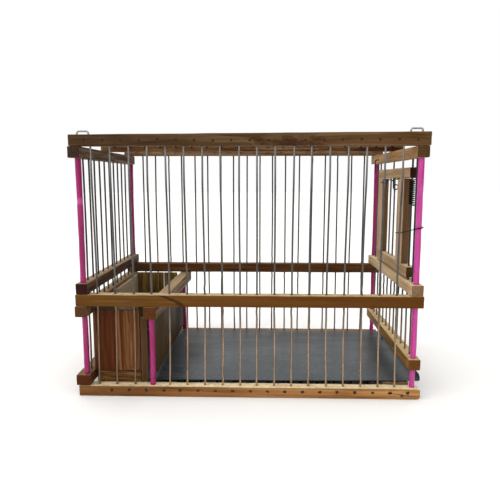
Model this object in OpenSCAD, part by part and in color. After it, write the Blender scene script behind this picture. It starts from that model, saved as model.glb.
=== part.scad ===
// Handmade rectangular bird cage: stacked wooden rails, wire bars, straw spacers on
// the corner rods, an open-topped timber nest box, a sprung side door and a floor tray.
// The origin is the centre of the footprint at floor level. X runs along the front,
// Y runs towards the back and Z is up.

/* [Frame] */
// Length of the rails that run along the front and back
rail_len = 340; // [300:1:420]
// Width of the rails, except for the lowest left one and the nest box's right one
rail_w = 12; // [10:0.5:14]
// Height of the rails, except for the middle pair and the nest box's right rail
rail_h = 11; // [10:0.5:13]
// Height of the middle rails along the front and back
mid_h = 12; // [11:0.5:13]
// How much taller the front roof rail is at its right end than at its left end
roof_taper = 2; // [0:0.5:2]
// Distance between the left and right corner rods
rod_span_x = 326; // [326:1:328]
// Distance between the front and back corner rods
rod_span_y = 196; // [190:1:204]
// How far a side rail runs past the corner rods
side_overhang = 6.3; // [5:0.1:9]
// How far three of the left side's rails are set outward of the rods' line
left_set = 2; // [0:0.5:2.5]
// Width of the lowest left rail
low_left_w = 14.5; // [12:0.5:15]
// Height of the straw spacers between the lowest rails and the box rails
lower_left_gap = 59; // [50:1:70]
// Height of the straw spacers that keep the tray's slot open
slot_gap = 19; // [17:1:25]
// Height of the straw spacers between the middle and the top rails
upper_gap = 121; // [100:1:160]

/* [Wire] */
// Diameter of the cage bars
wire_d = 2; // [1.6:0.1:2.4]
// Diameter of the corner rods and the hinge rod
rod_d = 2; // [1.8:0.1:2.8]
// Clearance added to the diameter of each drilled hole
hole_play = 0.1; // [0.06:0.02:0.18]
// Number of upright bars in the front, and in the back
bar_count = 18; // [18:1:18]
// Distance from one front bar to the next
bar_pitch = 17.3; // [17:0.1:17.5]
// How far the front bars as a whole sit off the middle
bar_shift = -1; // [-1.5:0.5:0]
// How far the back bars sit off the middle
back_bar_shift = 0.4; // [-1:0.1:0.5]
// Number of upright bars in a side
side_bar_count = 11; // [11:1:11]
// Distance from one side bar to the next
side_pitch = 17; // [16.5:0.1:17.2]
// Number of roof bars
roof_bar_count = 19; // [19:1:19]
// How far the roof bars sit off the middle
roof_shift = 1.7; // [1:0.1:2.5]
// Number of floor bars
floor_bar_count = 18; // [18:1:18]
// How far the floor bars sit off the middle
floor_shift = 10.65; // [10:0.05:11.5]

/* [Straws] */
// Outer diameter of the drinking-straw spacers
straw_d = 6; // [5:0.1:7]
// Wall of a spacer
straw_wall = 0.4; // [0.3:0.05:0.6]

/* [Nest box] */
// Width of the box's right rail
box_right_w = 13; // [12:0.5:14]
// Height of the box's right rail
box_right_h = 13; // [11:0.5:13]
// How far the back end of that rail stands to the right of its front end
box_right_skew = 5; // [0:0.5:5]
// Thickness of the boards of the box
board_t = 3; // [2.5:0.1:3.2]
// Height of the foot board across the front of the box
foot_h = 12.5; // [10:0.5:15]
// Gap between the tray and the lower edge of the box's right wall
wall_lift = 5.5; // [4:0.5:8]

/* [Tray] */
// Thickness of the tray's sheet
tray_t = 1; // [0.8:0.1:1.5]
// Depth of the tray from front to back
tray_depth = 176; // [160:1:178]
// Left edge of the tray
tray_left = -150; // [-152:1:-140]
// Right edge of the tray, where it is turned up
tray_right = 174; // [172:1:180]
// Height of the turned-up edge
lip_h = 8; // [5:1:12]
// Width of the strips that carry the tray
strip_w = 26; // [15:1:30]
// Thickness of the strips that carry the tray
strip_t = 3.3; // [3:0.1:3.4]

/* [Door] */
// Where the hinge rod stands, counted from the middle towards the back
hinge_y = -70; // [-72:1:-69]
// Thickness of the door's two rails
door_rail_t = 9; // [8:0.5:10]
// Thickness of the door's two stiles
door_stile_t = 8; // [7:0.5:8]
// How far the door's rails run past the hinge rod
door_nose = 7; // [5:0.5:8]
// Distance from the hinge rod to the door's free edge
door_reach = 134; // [128:1:135]
// Distance from the hinge rod to the near stile
stile_start = 14; // [12:1:18]
// Width of the near stile
near_stile_w = 26; // [20:1:28]
// Width of the far stile
far_stile_w = 24; // [20:1:26]
// Gap under the door
door_sill_gap = 2.5; // [2:0.5:3]
// Gap over the door
door_head_gap = 8; // [7:0.5:10]

/* [Spring and latch] */
// Diameter of the spring's wire, the stop wire and the catch
thin_wire_d = 1.2; // [1:0.1:1.3]
// Mean radius of the spring's coil
coil_r = 2.6; // [2.5:0.1:3]
// Number of turns in the coil
coil_turns = 13; // [8:1:16]
// Distance from one turn to the next
coil_pitch = 1.9; // [1.7:0.1:2.2]
// Diameter of the latch pin
pin_d = 1.8; // [1.5:0.1:2]
// Mean radius of the pin's finger ring
ring_r = 2.7; // [2.5:0.1:3.2]

/* [Hidden] */
$fn = 24;
eps = 0.01;

// places of the corner rods
rod_x = rod_span_x / 2;
rod_y = rod_span_y / 2;
side_len = rod_span_y + 2 * side_overhang;
inner_x = rod_x - rail_w / 2;
inner_y = rod_y - rail_w / 2;

// undersides of the rails, from the floor up
bottom_z = 0;
bottom_left_z = rail_h;
box_rail_z = bottom_left_z + rail_h + lower_left_gap;
lower_right_z = rail_h + slot_gap;
mid_z = box_rail_z + rail_h;
mid_side_z = mid_z + mid_h;
box_right_z = mid_z - box_right_h;
top_side_z = mid_side_z + rail_h + upper_gap;
top_z = top_side_z + rail_h;
cage_h = top_z + rail_h;

// ends of wires stop short inside their blind holes
seat = 2;
roof_bar_z = top_z + rail_h / 2;
floor_bar_z = 6.7;
bar_end_recess = 1;

// rows of bars
function spread(count, pitch, shift) = [for (i = [0:count - 1]) (i - (count - 1) / 2) * pitch + shift];
front_bar_x = spread(bar_count, bar_pitch, bar_shift);
back_bar_x = spread(bar_count, bar_pitch, back_bar_shift);
function row_bar_x(y) = y < 0 ? front_bar_x : back_bar_x;
roof_bar_x = spread(roof_bar_count, bar_pitch, roof_shift);
floor_bar_x = spread(floor_bar_count, bar_pitch, floor_shift);
side_bar_y = spread(side_bar_count, side_pitch, 0);
right_upper_bar_y = [-85, 70, 85];
low_end_bar = 7;
low_end_drop = 13;
splice_z = mid_side_z + rail_h / 2;
splice_gap = 0.6;

// nest box
box_bar = 3;
box_x = front_bar_x[box_bar];
box_rail_x = box_x + 2.15;
function box_post_x(y) = row_bar_x(y)[box_bar];
panel_face_y = inner_y - 0.3;
box_wall_x = -inner_x - left_set + 0.3;
panel_left = -inner_x + 0.4;
foot_z = 9.5;
board_top = mid_z - 6;
board_gap = 0.3;
stile_w = 4.6;
board_left_w = 18;
board_right_w = 23.4;
strip_gap = 0.9;
corner_strip_w = 6.8;
box_board_z = foot_z + foot_h + board_gap;
wall_low_z = 12.8;
left_wall_z = bottom_left_z + rail_h + board_gap;
back_board_count = 3;

// tray
strip_z = floor_bar_z + wire_d / 2 + 0.1;
tray_z = strip_z + strip_t + 0.3;
tray_corner_r = 6;
strip_len = tray_depth;
box_right_wall_z = tray_z + tray_t + wall_lift;

// door
door_in = rod_x - door_rail_t / 2;
door_y0 = hinge_y - door_nose;
door_y1 = hinge_y + door_reach;
door_z0 = mid_side_z + rail_h + door_sill_gap;
door_z1 = top_side_z - door_head_gap;
door_low_top = door_z0 + rail_h;
door_high_low = door_z1 - rail_h;
near_y0 = hinge_y + stile_start;
near_y1 = near_y0 + near_stile_w;
far_y0 = door_y1 - far_stile_w;
door_bar_count = 3;
door_bar_x = rod_x + 1.5;
door_bar_seat = 6;
door_bar_y = [for (i = [1:door_bar_count]) near_y1 + i * (far_y0 - near_y1) / (door_bar_count + 1)];

// latch pin, stored with its tip just below the side rail
pin_x = rod_x - 2.5;
pin_y = -5;
pin_tip_z = top_side_z - 0.3;
pin_socket = 7.5;
ring_z = door_high_low - 9.5;

// spring
coil_top = door_high_low - 1.2;
coil_low = coil_top - coil_turns * coil_pitch;
leg_x = door_in + door_stile_t + thin_wire_d / 2 + 0.1;
leg_reach = 24;
post_leg_reach = 16;

// catch on the side rail, by the free end of the door
catch_y = 57;
catch_z = top_side_z + 4;
catch_out = 2.6;
catch_drop = 14;
catch_bend = 2;

// tie wire under the door's top rail
tie_y0 = near_y0 + 17;
tie_y1 = far_y0 + 5;
tie_fall = 5;

// bent tops of the corner rods
rod_bend = 2;
rod_run = 7;

// nails
nail_d = 1.5;
nail_head_d = 3;
nail_head_t = 0.5;
nail_len = 15;
nail_offset = 4;
front_nail_x = 152;
front_nail_z = 4;
front_nail_len = 9;

// stop wire: a ring round the corner straw, then a run to the inner face of the near stile
stop_wire_d = 1;
stop_z = 169;
stop_ring_r = straw_d / 2 + stop_wire_d / 2 + 0.4;
stop_fall = 10;
stop_end_x = door_in - 1.5;
stop_end_y = near_y0 + 20;
stop_start_angle = 205;
stop_turn = 200;
stop_steps = 10;

dark_wood = "SaddleBrown";
brown_wood = "Peru";
pale_wood = "BurlyWood";
straw_pink = "MediumVioletRed";
steel = "LightSlateGray";

// ---- shared shapes ----

// a rail along X, centred, at depth y and height z
module rail_x(y, z, h = rail_h) {
    translate([-rail_len / 2, y - rail_w / 2, z])
        cube([rail_len, rail_w, h]);
}

// a rail along Y, centred, at x and height z
module rail_y(x, z, w = rail_w, h = rail_h) {
    translate([x - w / 2, -side_len / 2, z])
        cube([w, side_len, h]);
}

module wire_z(x, y, z0, z1, d = wire_d) {
    translate([x, y, z0])
        cylinder(h = z1 - z0, d = d);
}

module wire_y(x, z, y0, y1, d = wire_d) {
    translate([x, y0, z])
        rotate([-90, 0, 0])
            cylinder(h = y1 - y0, d = d);
}

// holes for upright wires, drilled from z0 to z1
module holes_z(places, z0, z1, d = wire_d) {
    for (p = places)
        wire_z(p[0], p[1], z0, z1, d + hole_play);
}

// holes for the two corner rods of a rail
module rod_holes(places, z0, z1) {
    holes_z(places, z0, z1, rod_d);
}

function at_depth(xs, y) = [for (x = xs) [x, y]];
function at_side(ys, x) = [for (y = ys) [x, y]];
function row_rods(y) = [[-rod_x, y], [rod_x, y]];
function side_rods(x) = [[x, -rod_y], [x, rod_y]];

// a tube along a list of points, with a ring at each point
module swept_wire(path, d, sides = 8) {
    n = len(path);
    function direction(i) = let (a = path[max(i - 1, 0)], b = path[min(i + 1, n - 1)]) (b - a) / norm(b - a);
    function across(t) = let (c = cross([0, 0, 1], t)) c / norm(c);
    rings = [for (i = [0:n - 1])
        let (t = direction(i), u = across(t), v = cross(t, u))
        [for (k = [0:sides - 1]) path[i] + d / 2 * (cos(360 * k / sides) * u + sin(360 * k / sides) * v)]];
    points = [for (ring = rings) for (p = ring) p];
    walls = [for (i = [0:n - 2]) for (k = [0:sides - 1])
        let (m = (k + 1) % sides)
        [i * sides + k, i * sides + m, (i + 1) * sides + m, (i + 1) * sides + k]];
    low_cap = [for (k = [sides - 1:-1:0]) k];
    high_cap = [for (k = [0:sides - 1]) (n - 1) * sides + k];
    polyhedron(points = points, faces = concat([low_cap], walls, [high_cap]), convexity = 6);
}

// ---- frame rails ----

module bottom_row_rail(y) {
    difference() {
        rail_x(y, bottom_z);
        rod_holes(row_rods(y), seat - 0.5, rail_h + eps);
        holes_z(at_depth(row_bar_x(y), y), seat, rail_h + eps);
        for (x = floor_bar_x)
            wire_y(x, floor_bar_z, y - rail_w, y + rail_w, wire_d + hole_play);
        if (y < 0)
            translate([front_nail_x, y - rail_w / 2 - eps, front_nail_z])
                rotate([-90, 0, 0])
                    cylinder(h = front_nail_len + 0.5, d = nail_d + hole_play);
    }
}

module bottom_front_rail() {
    color(pale_wood) bottom_row_rail(-rod_y);
}

module bottom_back_rail() {
    color(pale_wood) bottom_row_rail(rod_y);
}

module bottom_left_rail() {
    color(brown_wood)
        difference() {
            rail_y(-rod_x - left_set, bottom_left_z, low_left_w);
            rod_holes(side_rods(-rod_x), bottom_left_z - eps, bottom_left_z + rail_h + eps);
            holes_z(at_side(side_bar_y, -rod_x), bottom_left_z + seat, bottom_left_z + rail_h + eps);
        }
}

module lower_right_rail() {
    color(pale_wood)
        difference() {
            rail_y(rod_x, lower_right_z);
            rod_holes(side_rods(rod_x), lower_right_z - eps, lower_right_z + rail_h + eps);
            holes_z(at_side(side_bar_y, rod_x), lower_right_z + seat, lower_right_z + rail_h + eps);
            wire_z(rod_x, side_bar_y[low_end_bar], lower_right_z - eps, lower_right_z + rail_h,
                wire_d + hole_play);
        }
}

module box_left_rail() {
    color(brown_wood)
        difference() {
            rail_y(-rod_x - left_set, box_rail_z);
            rod_holes(side_rods(-rod_x), box_rail_z - eps, box_rail_z + rail_h + eps);
            holes_z(at_side(side_bar_y, -rod_x), box_rail_z - eps, box_rail_z + rail_h + eps);
        }
}

module box_right_rail() {
    color(pale_wood)
        difference() {
            translate([box_rail_x, 0, 0])
                rotate([0, 0, -atan(box_right_skew / side_len)])
                    rail_y(0, box_right_z, box_right_w, box_right_h);
            for (y = [-rod_y, rod_y])
                holes_z([[box_post_x(y), y]], box_right_z - eps, mid_z + eps);
        }
}

module mid_row_rail(y) {
    difference() {
        rail_x(y, mid_z, mid_h);
        rod_holes(row_rods(y), mid_z - eps, mid_z + mid_h + eps);
        holes_z(at_depth(row_bar_x(y), y), mid_z - eps, mid_z + mid_h + eps);
    }
}

module mid_front_rail() {
    color(brown_wood) mid_row_rail(-rod_y);
}

module mid_back_rail() {
    color(dark_wood) mid_row_rail(rod_y);
}

module mid_left_rail() {
    color(dark_wood)
        difference() {
            rail_y(-rod_x, mid_side_z);
            rod_holes(side_rods(-rod_x), mid_side_z - eps, mid_side_z + rail_h + eps);
            holes_z(at_side(side_bar_y, -rod_x), mid_side_z - eps, mid_side_z + rail_h + eps);
        }
}

module mid_right_rail() {
    color(pale_wood)
        difference() {
            rail_y(rod_x, mid_side_z);
            rod_holes(side_rods(rod_x), mid_side_z - eps, mid_side_z + rail_h + eps);
            holes_z(at_side(side_bar_y, rod_x), mid_side_z - eps, splice_z - splice_gap / 2 + 0.1);
            holes_z(at_side(right_upper_bar_y, rod_x), splice_z + splice_gap / 2 - 0.1,
                mid_side_z + rail_h + eps);
            rod_holes([[rod_x, hinge_y]], splice_z + splice_gap / 2 - 0.1, mid_side_z + rail_h + eps);
        }
}

module top_left_rail() {
    color(dark_wood)
        difference() {
            rail_y(-rod_x - left_set, top_side_z);
            rod_holes(side_rods(-rod_x), top_side_z - eps, top_side_z + rail_h + eps);
            holes_z(at_side(side_bar_y, -rod_x), top_side_z - eps, top_side_z + rail_h - seat);
            middle_nail_hole(-1);
        }
}

module top_right_rail() {
    color(brown_wood)
        difference() {
            rail_y(rod_x, top_side_z);
            rod_holes(side_rods(rod_x), top_side_z - eps, top_side_z + rail_h + eps);
            holes_z(at_side(right_upper_bar_y, rod_x), top_side_z - eps, top_side_z + rail_h - seat);
            rod_holes([[rod_x, hinge_y]], top_side_z - eps, top_side_z + rail_h - seat);
            wire_z(pin_x, pin_y, top_side_z - eps, top_side_z + pin_socket, pin_d + 0.6);
            translate([inner_x - eps, catch_y, catch_z])
                rotate([0, 90, 0])
                    cylinder(h = rail_w - seat, d = thin_wire_d + hole_play);
            middle_nail_hole(1);
        }
}

// a rail across the roof, drilled for the roof bars, and this much taller at its right end
module roof_rail(y, taper = 0) {
    difference() {
        translate([0, y + rail_w / 2, top_z])
            rotate([90, 0, 0])
                linear_extrude(rail_w)
                    polygon([[-rail_len / 2, 0], [rail_len / 2, 0],
                        [rail_len / 2, rail_h + taper], [-rail_len / 2, rail_h]]);
        for (x = roof_bar_x)
            wire_y(x, roof_bar_z, y - rail_w, y + rail_w, wire_d + hole_play);
    }
}

module edge_roof_rail(y, taper = 0) {
    difference() {
        roof_rail(y, taper);
        rod_holes(row_rods(y), top_z - eps, top_z + rail_h + taper + eps);
        holes_z(at_depth(row_bar_x(y), y), top_z - eps, top_z + rail_h - seat);
    }
}

module top_front_rail() {
    color(dark_wood) edge_roof_rail(-rod_y, roof_taper);
}

module top_middle_rail() {
    color(dark_wood)
        difference() {
            roof_rail(0);
            for (side = [-1, 1])
                middle_nail_hole(side);
        }
}

module top_back_rail() {
    color(dark_wood) edge_roof_rail(rod_y);
}

// ---- corner rods, with their bent-over tops ----

// a quarter bend that starts upright at the origin and turns towards +X
module quarter_bend(r, d) {
    translate([r, 0, 0])
        rotate([90, 0, 180])
            rotate_extrude(angle = 90)
                translate([r, 0])
                    circle(d = d);
}

module corner_rod(side, y) {
    top = cage_h + (side > 0 && y < 0 ? roof_taper : 0) + rod_d / 2 + 0.3;
    translate([side * rod_x, y, 0])
        mirror([side > 0 ? 1 : 0, 0, 0]) {
            translate([0, 0, seat])
                cylinder(h = top - seat, d = rod_d);
            translate([0, 0, top])
                quarter_bend(rod_bend, rod_d);
            translate([rod_bend, 0, top + rod_bend])
                rotate([0, 90, 0])
                    cylinder(h = rod_run, d = rod_d);
            translate([2 * rod_bend + rod_run, 0, top])
                mirror([1, 0, 0])
                    quarter_bend(rod_bend, rod_d);
            translate([2 * rod_bend + rod_run, 0, top - 1.2])
                cylinder(h = 1.2, d = rod_d);
        }
}

module rod_front_left() {
    color(steel) corner_rod(-1, -rod_y);
}

module rod_front_right() {
    color(steel) corner_rod(1, -rod_y);
}

module rod_back_left() {
    color(steel) corner_rod(-1, rod_y);
}

module rod_back_right() {
    color(steel) corner_rod(1, rod_y);
}

// ---- straw spacers ----

module straw(x, y, z0, z1) {
    color(straw_pink)
        translate([x, y, z0])
            difference() {
                cylinder(h = z1 - z0, d = straw_d);
                translate([0, 0, -eps])
                    cylinder(h = z1 - z0 + 2 * eps, d = straw_d - 2 * straw_wall);
            }
}

module upper_straw(x, y) {
    straw(x, y, mid_side_z + rail_h, top_side_z);
}

module straw_slot_pair() {
    for (y = [-rod_y, rod_y])
        straw(rod_x, y, rail_h, lower_right_z);
}

module straw_lower_left(y) {
    straw(-rod_x, y, bottom_left_z + rail_h, box_rail_z);
}

module straw_lower_right(y) {
    straw(rod_x, y, lower_right_z + rail_h, mid_z);
}

module straw_box(y) {
    straw(box_post_x(y), y, rail_h, box_right_z);
}

// ---- bars ----

module row_bars(y) {
    color(steel)
        for (x = row_bar_x(y))
            wire_z(x, y, seat + 0.3, top_z + rail_h - seat - 0.3);
}

module front_bars() {
    row_bars(-rod_y);
}

module back_bars() {
    row_bars(rod_y);
}

module left_bars() {
    color(steel)
        for (y = side_bar_y)
            wire_z(-rod_x, y, bottom_left_z + seat + 0.3, top_side_z + rail_h - seat - 0.3);
}

module right_lower_bars() {
    color(steel)
        for (i = [0:side_bar_count - 1])
            wire_z(rod_x, side_bar_y[i],
                i == low_end_bar ? lower_right_z - low_end_drop : lower_right_z + seat + 0.3,
                splice_z - splice_gap / 2);
}

module right_upper_bars() {
    color(steel)
        for (y = right_upper_bar_y)
            wire_z(rod_x, y, splice_z + splice_gap / 2, top_side_z + rail_h - seat - 0.3);
}

module long_bar_y(x, z) {
    wire_y(x, z, -rod_y - rail_w / 2 + bar_end_recess, rod_y + rail_w / 2 - bar_end_recess);
}

module roof_bars() {
    color(steel)
        for (x = roof_bar_x)
            long_bar_y(x, roof_bar_z);
}

module floor_bars() {
    color(steel)
        for (x = floor_bar_x)
            long_bar_y(x, floor_bar_z);
}

// ---- nest box ----

// a board in the front of the box, from x0, of width w, between two heights
module front_board(x0, w, z0, z1) {
    translate([x0, -panel_face_y, z0])
        cube([w, board_t, z1 - z0]);
}

board_left_x = panel_left + stile_w + board_gap;
board_right_x = board_left_x + board_left_w + board_gap;
corner_strip_x = board_right_x + board_right_w + strip_gap;

module box_front_stile() {
    color(dark_wood) front_board(panel_left, stile_w, box_board_z, board_top);
}

module box_front_board_left() {
    color(dark_wood) front_board(board_left_x, board_left_w, box_board_z, board_top);
}

module box_front_board_right() {
    color(brown_wood) front_board(board_right_x, board_right_w, box_board_z, board_top);
}

module box_front_foot() {
    color(brown_wood)
        front_board(panel_left + 2, corner_strip_x - board_gap - panel_left - 2, foot_z, foot_z + foot_h);
}

module box_corner_strip() {
    color("DarkKhaki") front_board(corner_strip_x, corner_strip_w, foot_z, box_right_z - board_gap);
}

module box_left_wall() {
    color("DarkKhaki")
        translate([box_wall_x, -panel_face_y + board_t + board_gap, left_wall_z])
            cube([board_t, 2 * (panel_face_y - board_t - board_gap), mid_z - 3 - left_wall_z]);
}

module box_right_wall() {
    color("DarkKhaki")
        translate([box_x - board_t / 2, -inner_y + 0.5, box_right_wall_z])
            cube([board_t, 2 * inner_y - 1, box_right_z - 0.2 - box_right_wall_z]);
}

module box_back_boards() {
    span = box_x - rail_w / 2 - panel_left;
    w = (span - (back_board_count - 1) * board_gap) / back_board_count;
    color(dark_wood)
        for (i = [0:back_board_count - 1])
            translate([panel_left + i * (w + board_gap), panel_face_y - board_t, wall_low_z])
                cube([w, board_t, mid_z - 0.3 - wall_low_z]);
}

// ---- tray ----

module tray() {
    color("SlateGray") {
        translate([0, 0, tray_z])
            linear_extrude(tray_t)
                tray_outline();
        translate([tray_right, 0, tray_z])
            rotate([0, -90, 0])
                linear_extrude(tray_t)
                    lip_outline();
    }
}

module tray_outline() {
    translate([tray_left, -tray_depth / 2])
        square([tray_right - tray_left, tray_depth]);
}

// the turned-up edge, with its two upper corners rounded
module lip_outline() {
    difference() {
        translate([0, -tray_depth / 2])
            square([lip_h, tray_depth]);
        for (side = [-1, 1])
            translate([lip_h - tray_corner_r, side * (tray_depth / 2 - tray_corner_r)])
                difference() {
                    translate([0, side > 0 ? 0 : -tray_corner_r - 1])
                        square(tray_corner_r + 1);
                    circle(r = tray_corner_r);
                }
    }
}

module floor_strips() {
    color(pale_wood)
        for (x = [tray_left, rod_x - strip_w])
            translate([x, -strip_len / 2, strip_z])
                cube([strip_w, strip_len, strip_t]);
}

// ---- door ----

module door_rail(z) {
    translate([door_in, door_y0, z])
        cube([door_rail_t, door_y1 - door_y0, rail_h]);
}

module door_hinge_hole(z) {
    wire_z(rod_x, hinge_y, z - eps, z + rail_h + eps, rod_d + hole_play);
}

module door_top_rail() {
    color(pale_wood)
        difference() {
            door_rail(door_high_low);
            door_hinge_hole(door_high_low);
            wire_z(pin_x, pin_y, door_high_low - eps, door_z1 + eps, pin_d + hole_play);
            for (y = door_bar_y)
                wire_z(door_bar_x, y, door_high_low - eps, door_high_low + door_bar_seat + 0.2,
                    wire_d + hole_play);
        }
}

module door_bottom_rail() {
    color(pale_wood)
        difference() {
            door_rail(door_z0);
            door_hinge_hole(door_z0);
            for (y = door_bar_y)
                wire_z(door_bar_x, y, door_low_top - door_bar_seat - 0.2, door_low_top + eps,
                    wire_d + hole_play);
        }
}

module door_stile(y0, w) {
    translate([door_in, y0, door_low_top])
        cube([door_stile_t, w, door_high_low - door_low_top]);
}

module door_near_stile() {
    color(brown_wood) door_stile(near_y0, near_stile_w);
}

module door_far_stile() {
    color(brown_wood) door_stile(far_y0, far_stile_w);
}

module door_bars() {
    color(steel)
        for (y = door_bar_y)
            wire_z(door_bar_x, y, door_low_top - door_bar_seat, door_high_low + door_bar_seat);
}

module door_tie_wire() {
    run = tie_y1 - tie_y0;
    color("DimGray")
        translate([door_in - thin_wire_d / 2 - 0.1, tie_y0, door_high_low])
            rotate([-90 - atan(tie_fall / run), 0, 0])
                cylinder(h = norm([run, tie_fall]), d = thin_wire_d);
}

module hinge_rod() {
    color(steel)
        wire_z(rod_x, hinge_y, splice_z + splice_gap / 2, top_side_z + rail_h - seat - 0.3, rod_d);
}

// the coil round the hinge rod, with a leg that bears on the first side bar
module door_spring() {
    steps = 12;
    coil = [for (i = [0:coil_turns * steps])
        let (a = -360 * i / steps)
        [rod_x + coil_r * cos(a), hinge_y + coil_r * sin(a), coil_low + coil_pitch * i / steps]];
    last = coil[len(coil) - 1];
    leg = [for (i = [1:4]) [last[0] + 0.6, hinge_y - post_leg_reach * i / 4, last[2]]];
    color("DimGray") swept_wire(concat(coil, leg), thin_wire_d, 6);
}

// the other leg, which lies on the door's outer face and turns with it
module door_spring_leg() {
    color("DimGray")
        wire_y(leg_x, coil_low - 1.5, hinge_y, hinge_y + leg_reach, thin_wire_d);
}

module latch_pin() {
    color(steel) {
        wire_z(pin_x, pin_y, ring_z, pin_tip_z, pin_d);
        translate([pin_x + ring_r, pin_y, ring_z])
            rotate([90, 0, 0])
                rotate_extrude()
                    translate([ring_r, 0])
                        circle(d = pin_d * 0.75);
    }
}

// ---- small hardware on the frame ----

module stop_wire() {
    ring = [for (i = [0:stop_steps])
        let (a = stop_start_angle + stop_turn * i / stop_steps)
        [rod_x + stop_ring_r * cos(a), -rod_y + stop_ring_r * sin(a), stop_z + i / 5]];
    start = ring[0];
    finish = [stop_end_x, stop_end_y, stop_z - stop_fall];
    run = [for (i = [0:6]) finish + (start - finish) * i / 7];
    color("DimGray") swept_wire(concat(run, ring), stop_wire_d);
}

// a bent wire that turns in the side rail and hangs by the free end of the door
module door_catch() {
    color("DimGray")
        translate([inner_x, catch_y, catch_z]) {
            translate([-catch_out, 0, 0])
                rotate([0, 90, 0])
                    cylinder(h = rail_w - seat + catch_out - 0.3, d = thin_wire_d);
            translate([-catch_out - catch_bend, 0, -catch_bend])
                quarter_bend(catch_bend, thin_wire_d);
            translate([-catch_out - catch_bend, 0, -catch_bend - catch_drop])
                cylinder(h = catch_drop, d = thin_wire_d);
        }
}

module middle_nail_hole(side) {
    wire_z(side * rod_x, nail_offset, cage_h - nail_len - 0.4, cage_h + eps, nail_d + hole_play);
}

module nail(length) {
    translate([0, 0, -length])
        cylinder(h = length, d = nail_d);
    cylinder(h = nail_head_t, d = nail_head_d);
}

module nails() {
    color("DimGray") {
        for (side = [-1, 1])
            translate([side * rod_x, nail_offset, cage_h])
                nail(nail_len);
        translate([front_nail_x, -rod_y - rail_w / 2, front_nail_z])
            rotate([90, 0, 0])
                nail(front_nail_len);
    }
}

bottom_front_rail();
bottom_back_rail();
bottom_left_rail();
lower_right_rail();
box_left_rail();
box_right_rail();
mid_front_rail();
mid_back_rail();
mid_left_rail();
mid_right_rail();
top_left_rail();
top_right_rail();
top_front_rail();
top_middle_rail();
top_back_rail();
rod_front_left();
rod_front_right();
rod_back_left();
rod_back_right();
upper_straw(-rod_x, -rod_y);  // straw_upper_front_left
upper_straw(rod_x, -rod_y);  // straw_upper_front_right
upper_straw(-rod_x, rod_y);  // straw_upper_back_left
upper_straw(rod_x, rod_y);  // straw_upper_back_right
straw_lower_left(-rod_y);  // straw_lower_front_left
straw_lower_left(rod_y);  // straw_lower_back_left
straw_lower_right(-rod_y);  // straw_lower_front_right
straw_lower_right(rod_y);  // straw_lower_back_right
straw_slot_pair();
straw_box(-rod_y);  // straw_box_front
straw_box(rod_y);  // straw_box_back
front_bars();
back_bars();
left_bars();
right_lower_bars();
right_upper_bars();
roof_bars();
floor_bars();
box_left_wall();
box_right_wall();
box_front_stile();
box_front_board_left();
box_front_board_right();
box_front_foot();
box_corner_strip();
box_back_boards();
tray();
floor_strips();
door_top_rail();
door_bottom_rail();
door_near_stile();
door_far_stile();
door_bars();
door_tie_wire();
hinge_rod();
door_spring();
door_spring_leg();
latch_pin();
stop_wire();
door_catch();
nails();
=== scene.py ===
import math

import bmesh
import bpy
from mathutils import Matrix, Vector, noise


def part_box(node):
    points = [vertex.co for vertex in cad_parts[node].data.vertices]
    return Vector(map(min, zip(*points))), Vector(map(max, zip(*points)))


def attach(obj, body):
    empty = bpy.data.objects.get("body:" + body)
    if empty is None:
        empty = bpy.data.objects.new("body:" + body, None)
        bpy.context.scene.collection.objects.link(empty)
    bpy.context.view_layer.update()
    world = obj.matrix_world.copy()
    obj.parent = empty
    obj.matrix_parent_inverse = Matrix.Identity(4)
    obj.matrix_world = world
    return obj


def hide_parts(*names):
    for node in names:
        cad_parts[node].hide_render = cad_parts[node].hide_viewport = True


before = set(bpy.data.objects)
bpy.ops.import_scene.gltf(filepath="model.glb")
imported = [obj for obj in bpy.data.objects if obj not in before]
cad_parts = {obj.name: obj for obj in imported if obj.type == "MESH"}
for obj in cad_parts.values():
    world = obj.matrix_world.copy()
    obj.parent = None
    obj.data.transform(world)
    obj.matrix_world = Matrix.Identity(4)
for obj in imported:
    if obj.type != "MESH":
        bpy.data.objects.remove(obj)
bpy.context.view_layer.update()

# A handmade bird cage: worn timber rails, wire bars, drinking-straw spacers, a timber
# nest box, a sprung door and a sheet-metal tray. Metres, X right, Y back, Z up.

MM = 0.001
X, Y, Z = 0, 1, 2
scene = bpy.context.scene


# ---------------------------------------------------------------- small helpers

def linear(r, g, b, gain=1.0):
    """A display colour, 0 to 255, as scene-linear, brightened by gain."""
    def one(c):
        c /= 255.0
        c = c / 12.92 if c <= 0.04045 else ((c + 0.055) / 1.055) ** 2.4
        return min(c * gain, 0.93)
    return one(r), one(g), one(b), 1.0


def matt(r, g, b, gain=1.0):
    """The body colour that shows as this display colour once a little gloss lies over it."""
    return tuple(max((c - 0.010) * gain, 0.0015) for c in linear(r, g, b)[:3]) + (1.0,)


def wander(seed, *place):
    """Smooth repeatable noise, about -1 to 1."""
    a, b, c = (list(place) + [0.0, 0.0])[:3]
    return noise.noise(Vector((a + 17.31 * seed, b - 9.73 * seed, c + 4.57 * seed))) * 1.6


def lerp(a, b, t):
    return a + (b - a) * t


def dim(colour, gain):
    return tuple(gain * c for c in colour[:3]) + (1.0,)


# ---------------------------------------------------------------- shader graphs

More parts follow.
